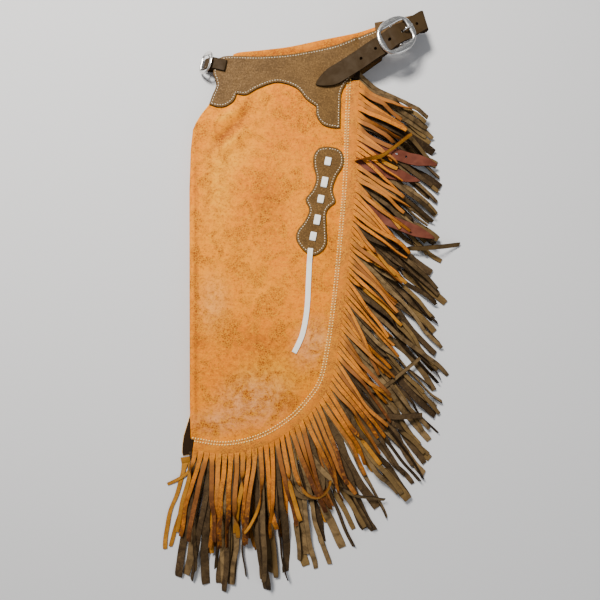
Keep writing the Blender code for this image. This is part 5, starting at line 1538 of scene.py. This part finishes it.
        spots = [Vector((c[0], c[1], z)) for c, z in zip(centres, heights)]
        rings = []
        for index, spot in enumerate(spots):
            side, width = widths[index]
            before, after = spots[max(index - 1, 0)], spots[min(index + 1, len(spots) - 1)]
            flat = Vector((side[0], side[1], 0.0))
            normal = flat.cross(after - before).normalized()
            if normal.z < 0.0:
                normal = -normal
            r = rolls[index]
            taper = 1.0 if shares[index] < 0.999 else 0.9
            ring = strand_ring(bm, spot, flat * math.cos(r) + normal * math.sin(r),
                               normal * math.cos(r) - flat * math.sin(r), width * taper, half)
            for vert in ring:
                vert[tone] = strand_tone * smooth(shares[index] * 6.0)
                vert[reach_mark] = shares[index]
                vert[burnt_mark] = strand_burnt
            rings.append(ring)
        for a, b in zip(rings, rings[1:]):
            for corner in range(8):
                after = (corner + 1) % 8
                bm.faces.new([a[corner], a[after], b[after], b[corner]]).material_index = STRAND_FINISHES[corner]
        bm.faces.new(list(reversed(rings[0]))).material_index = 2
        bm.faces.new(rings[-1]).material_index = 2
    for vert in bm.verts:
        vert[pale] = patch_strength(PALE, vert.co.x, vert.co.y)
        # Painted seam shade at least, on every point of the fringe
        vert[dark] = max(ROOT_DARK, patch_strength(DARK_PATCHES, vert.co.x, vert.co.y))
    bmesh.ops.recalc_face_normals(bm, faces=bm.faces)
    return piece(name, bm, finishes, [fringe.name])


def make_leg_straps():
    """Pointed straps that run out from under the edge and lie on the dark strands."""
    for number, band in enumerate(LEG_STRAPS, start=1):
        start, end = np.array([band.x0, band.y0]), np.array([band.x1, band.y1])
        length = float(np.linalg.norm(end - start))
        along = (end - start) / length
        side = np.array([-along[1], along[0]])
        count = 34
        centres = [start + along * length * k / count + side * 1.2 * math.sin(k / 5.0) * smooth(k / 12.0)
                   for k in range(count + 1)]
        widths = []
        for k in range(count + 1):
            left = length * (1.0 - k / count)
            widths.append(LEG_STRAP_HALF_WIDTH * min(1.0, 0.10 + 0.90 * (left / 32.0) ** 0.8))
        sides = [side * width for width in widths]
        heights = settle(centres, sides, [0.0] * len(centres), LEG_STRAP_MIDDLE, STRAP_WALL)
        mark_strand(centres, sides, heights, [0.0] * len(centres), STRAP_WALL)
        stations = [(Vector((c[0], c[1], z)), Vector((s[0], s[1], 0.0)), UP)
                    for c, s, z in zip(centres, sides, heights)]
        item = strap("tie_strap_%d" % number, stations, STRAP_WALL, looks("oxblood", "dark_flesh", "oxblood_cut"),
                     [band.name], groove=0.2)
        spots = []
        for share in band.holes:
            spot = start + along * length * share
            spots.append(Vector((spot[0], spot[1], float(heights[round(share * count)]))))
        if spots:
            punch(item, spots, 1.9)


# Camera, light and floor

def make_camera():
    lens = bpy.data.cameras.new("camera")
    lens.sensor_width = 36.0
    lens.lens = CAMERA_LENS
    camera = bpy.data.objects.new("camera", lens)
    camera.location = Vector(CAMERA_SPOT) * MM
    bpy.context.collection.objects.link(camera)
    bpy.context.scene.camera = camera


def make_light(name, spot, aim, size, power, colour):
    lamp = bpy.data.lights.new(name, "AREA")
    lamp.size = size
    lamp.energy = power
    lamp.color = colour
    item = bpy.data.objects.new(name, lamp)
    item.location = spot
    item.rotation_euler = (Vector(aim) - Vector(spot)).to_track_quat("-Z", "Y").to_euler()
    bpy.context.collection.objects.link(item)


def make_stage():
    bm = bmesh.new()
    bmesh.ops.create_grid(bm, x_segments=2, y_segments=2, size=12.0)
    mesh = bpy.data.meshes.new("floor")
    bm.to_mesh(mesh)
    bm.free()
    floor = bpy.data.objects.new("floor", mesh)
    floor.location = (0.0, 0.0, -0.0004)
    bpy.context.collection.objects.link(floor)
    finish = bpy.data.materials.new("floor")
    finish.use_nodes = True
    shader = finish.node_tree.nodes["Principled BSDF"]
    shader.inputs["Base Color"].default_value = (0.72, 0.72, 0.73, 1.0)
    shader.inputs["Roughness"].default_value = 0.9
    mesh.materials.append(finish)

    world = bpy.data.worlds.new("world")
    bpy.context.scene.world = world
    world.use_nodes = True
    sky = world.node_tree.nodes["Background"]
    sky.inputs["Color"].default_value = (0.92, 0.95, 1.0, 1.0)
    sky.inputs["Strength"].default_value = 0.24
    make_light("key", (-0.7, 1.3, 1.7), (0.0, 0.0, 0.0), 0.55, 84.0, (1.0, 0.97, 0.92))
    make_light("fill", (1.3, -0.9, 1.5), (0.0, 0.0, 0.0), 1.6, 9.0, (0.95, 0.97, 1.0))


def main():
    make_camera()
    make_lace_tail()
    make_stage()
    near, far = make_legs()
    make_inner_layers()
    yoke_seam, thigh_seam = make_yokes()
    hem = make_sewing(yoke_seam, thigh_seam)
    make_lace_bits()
    make_billet()
    make_belt_buckle()
    make_chape()
    make_front_strap()
    far_caramel = make_fringe(CARAMEL_UNDER, UNDER_EDGE, False, "far_caramel_fringe", SUEDE_STRANDS,
                              flips=0.1, fill=0.66)
    far_dark = make_fringe(DARK_UNDER, UNDER_EDGE, False, "far_dark_fringe", OLIVE_STRANDS,
                           flips=0.3, fill=0.98, rolls_over=0.12)
    dark = make_fringe(DARK, TOP_EDGE, True, "near_dark_fringe", OLIVE_STRANDS, flips=0.3,
                       fill=0.84, rolls_over=0.30)
    make_leg_straps()
    caramel = make_fringe(CARAMEL, TOP_EDGE, True, "near_caramel_fringe", CARAMEL_STRANDS,
                          flips=0.17, burnt=1.0, fill=0.80)
    cloth(near)
    cloth(far)


main()
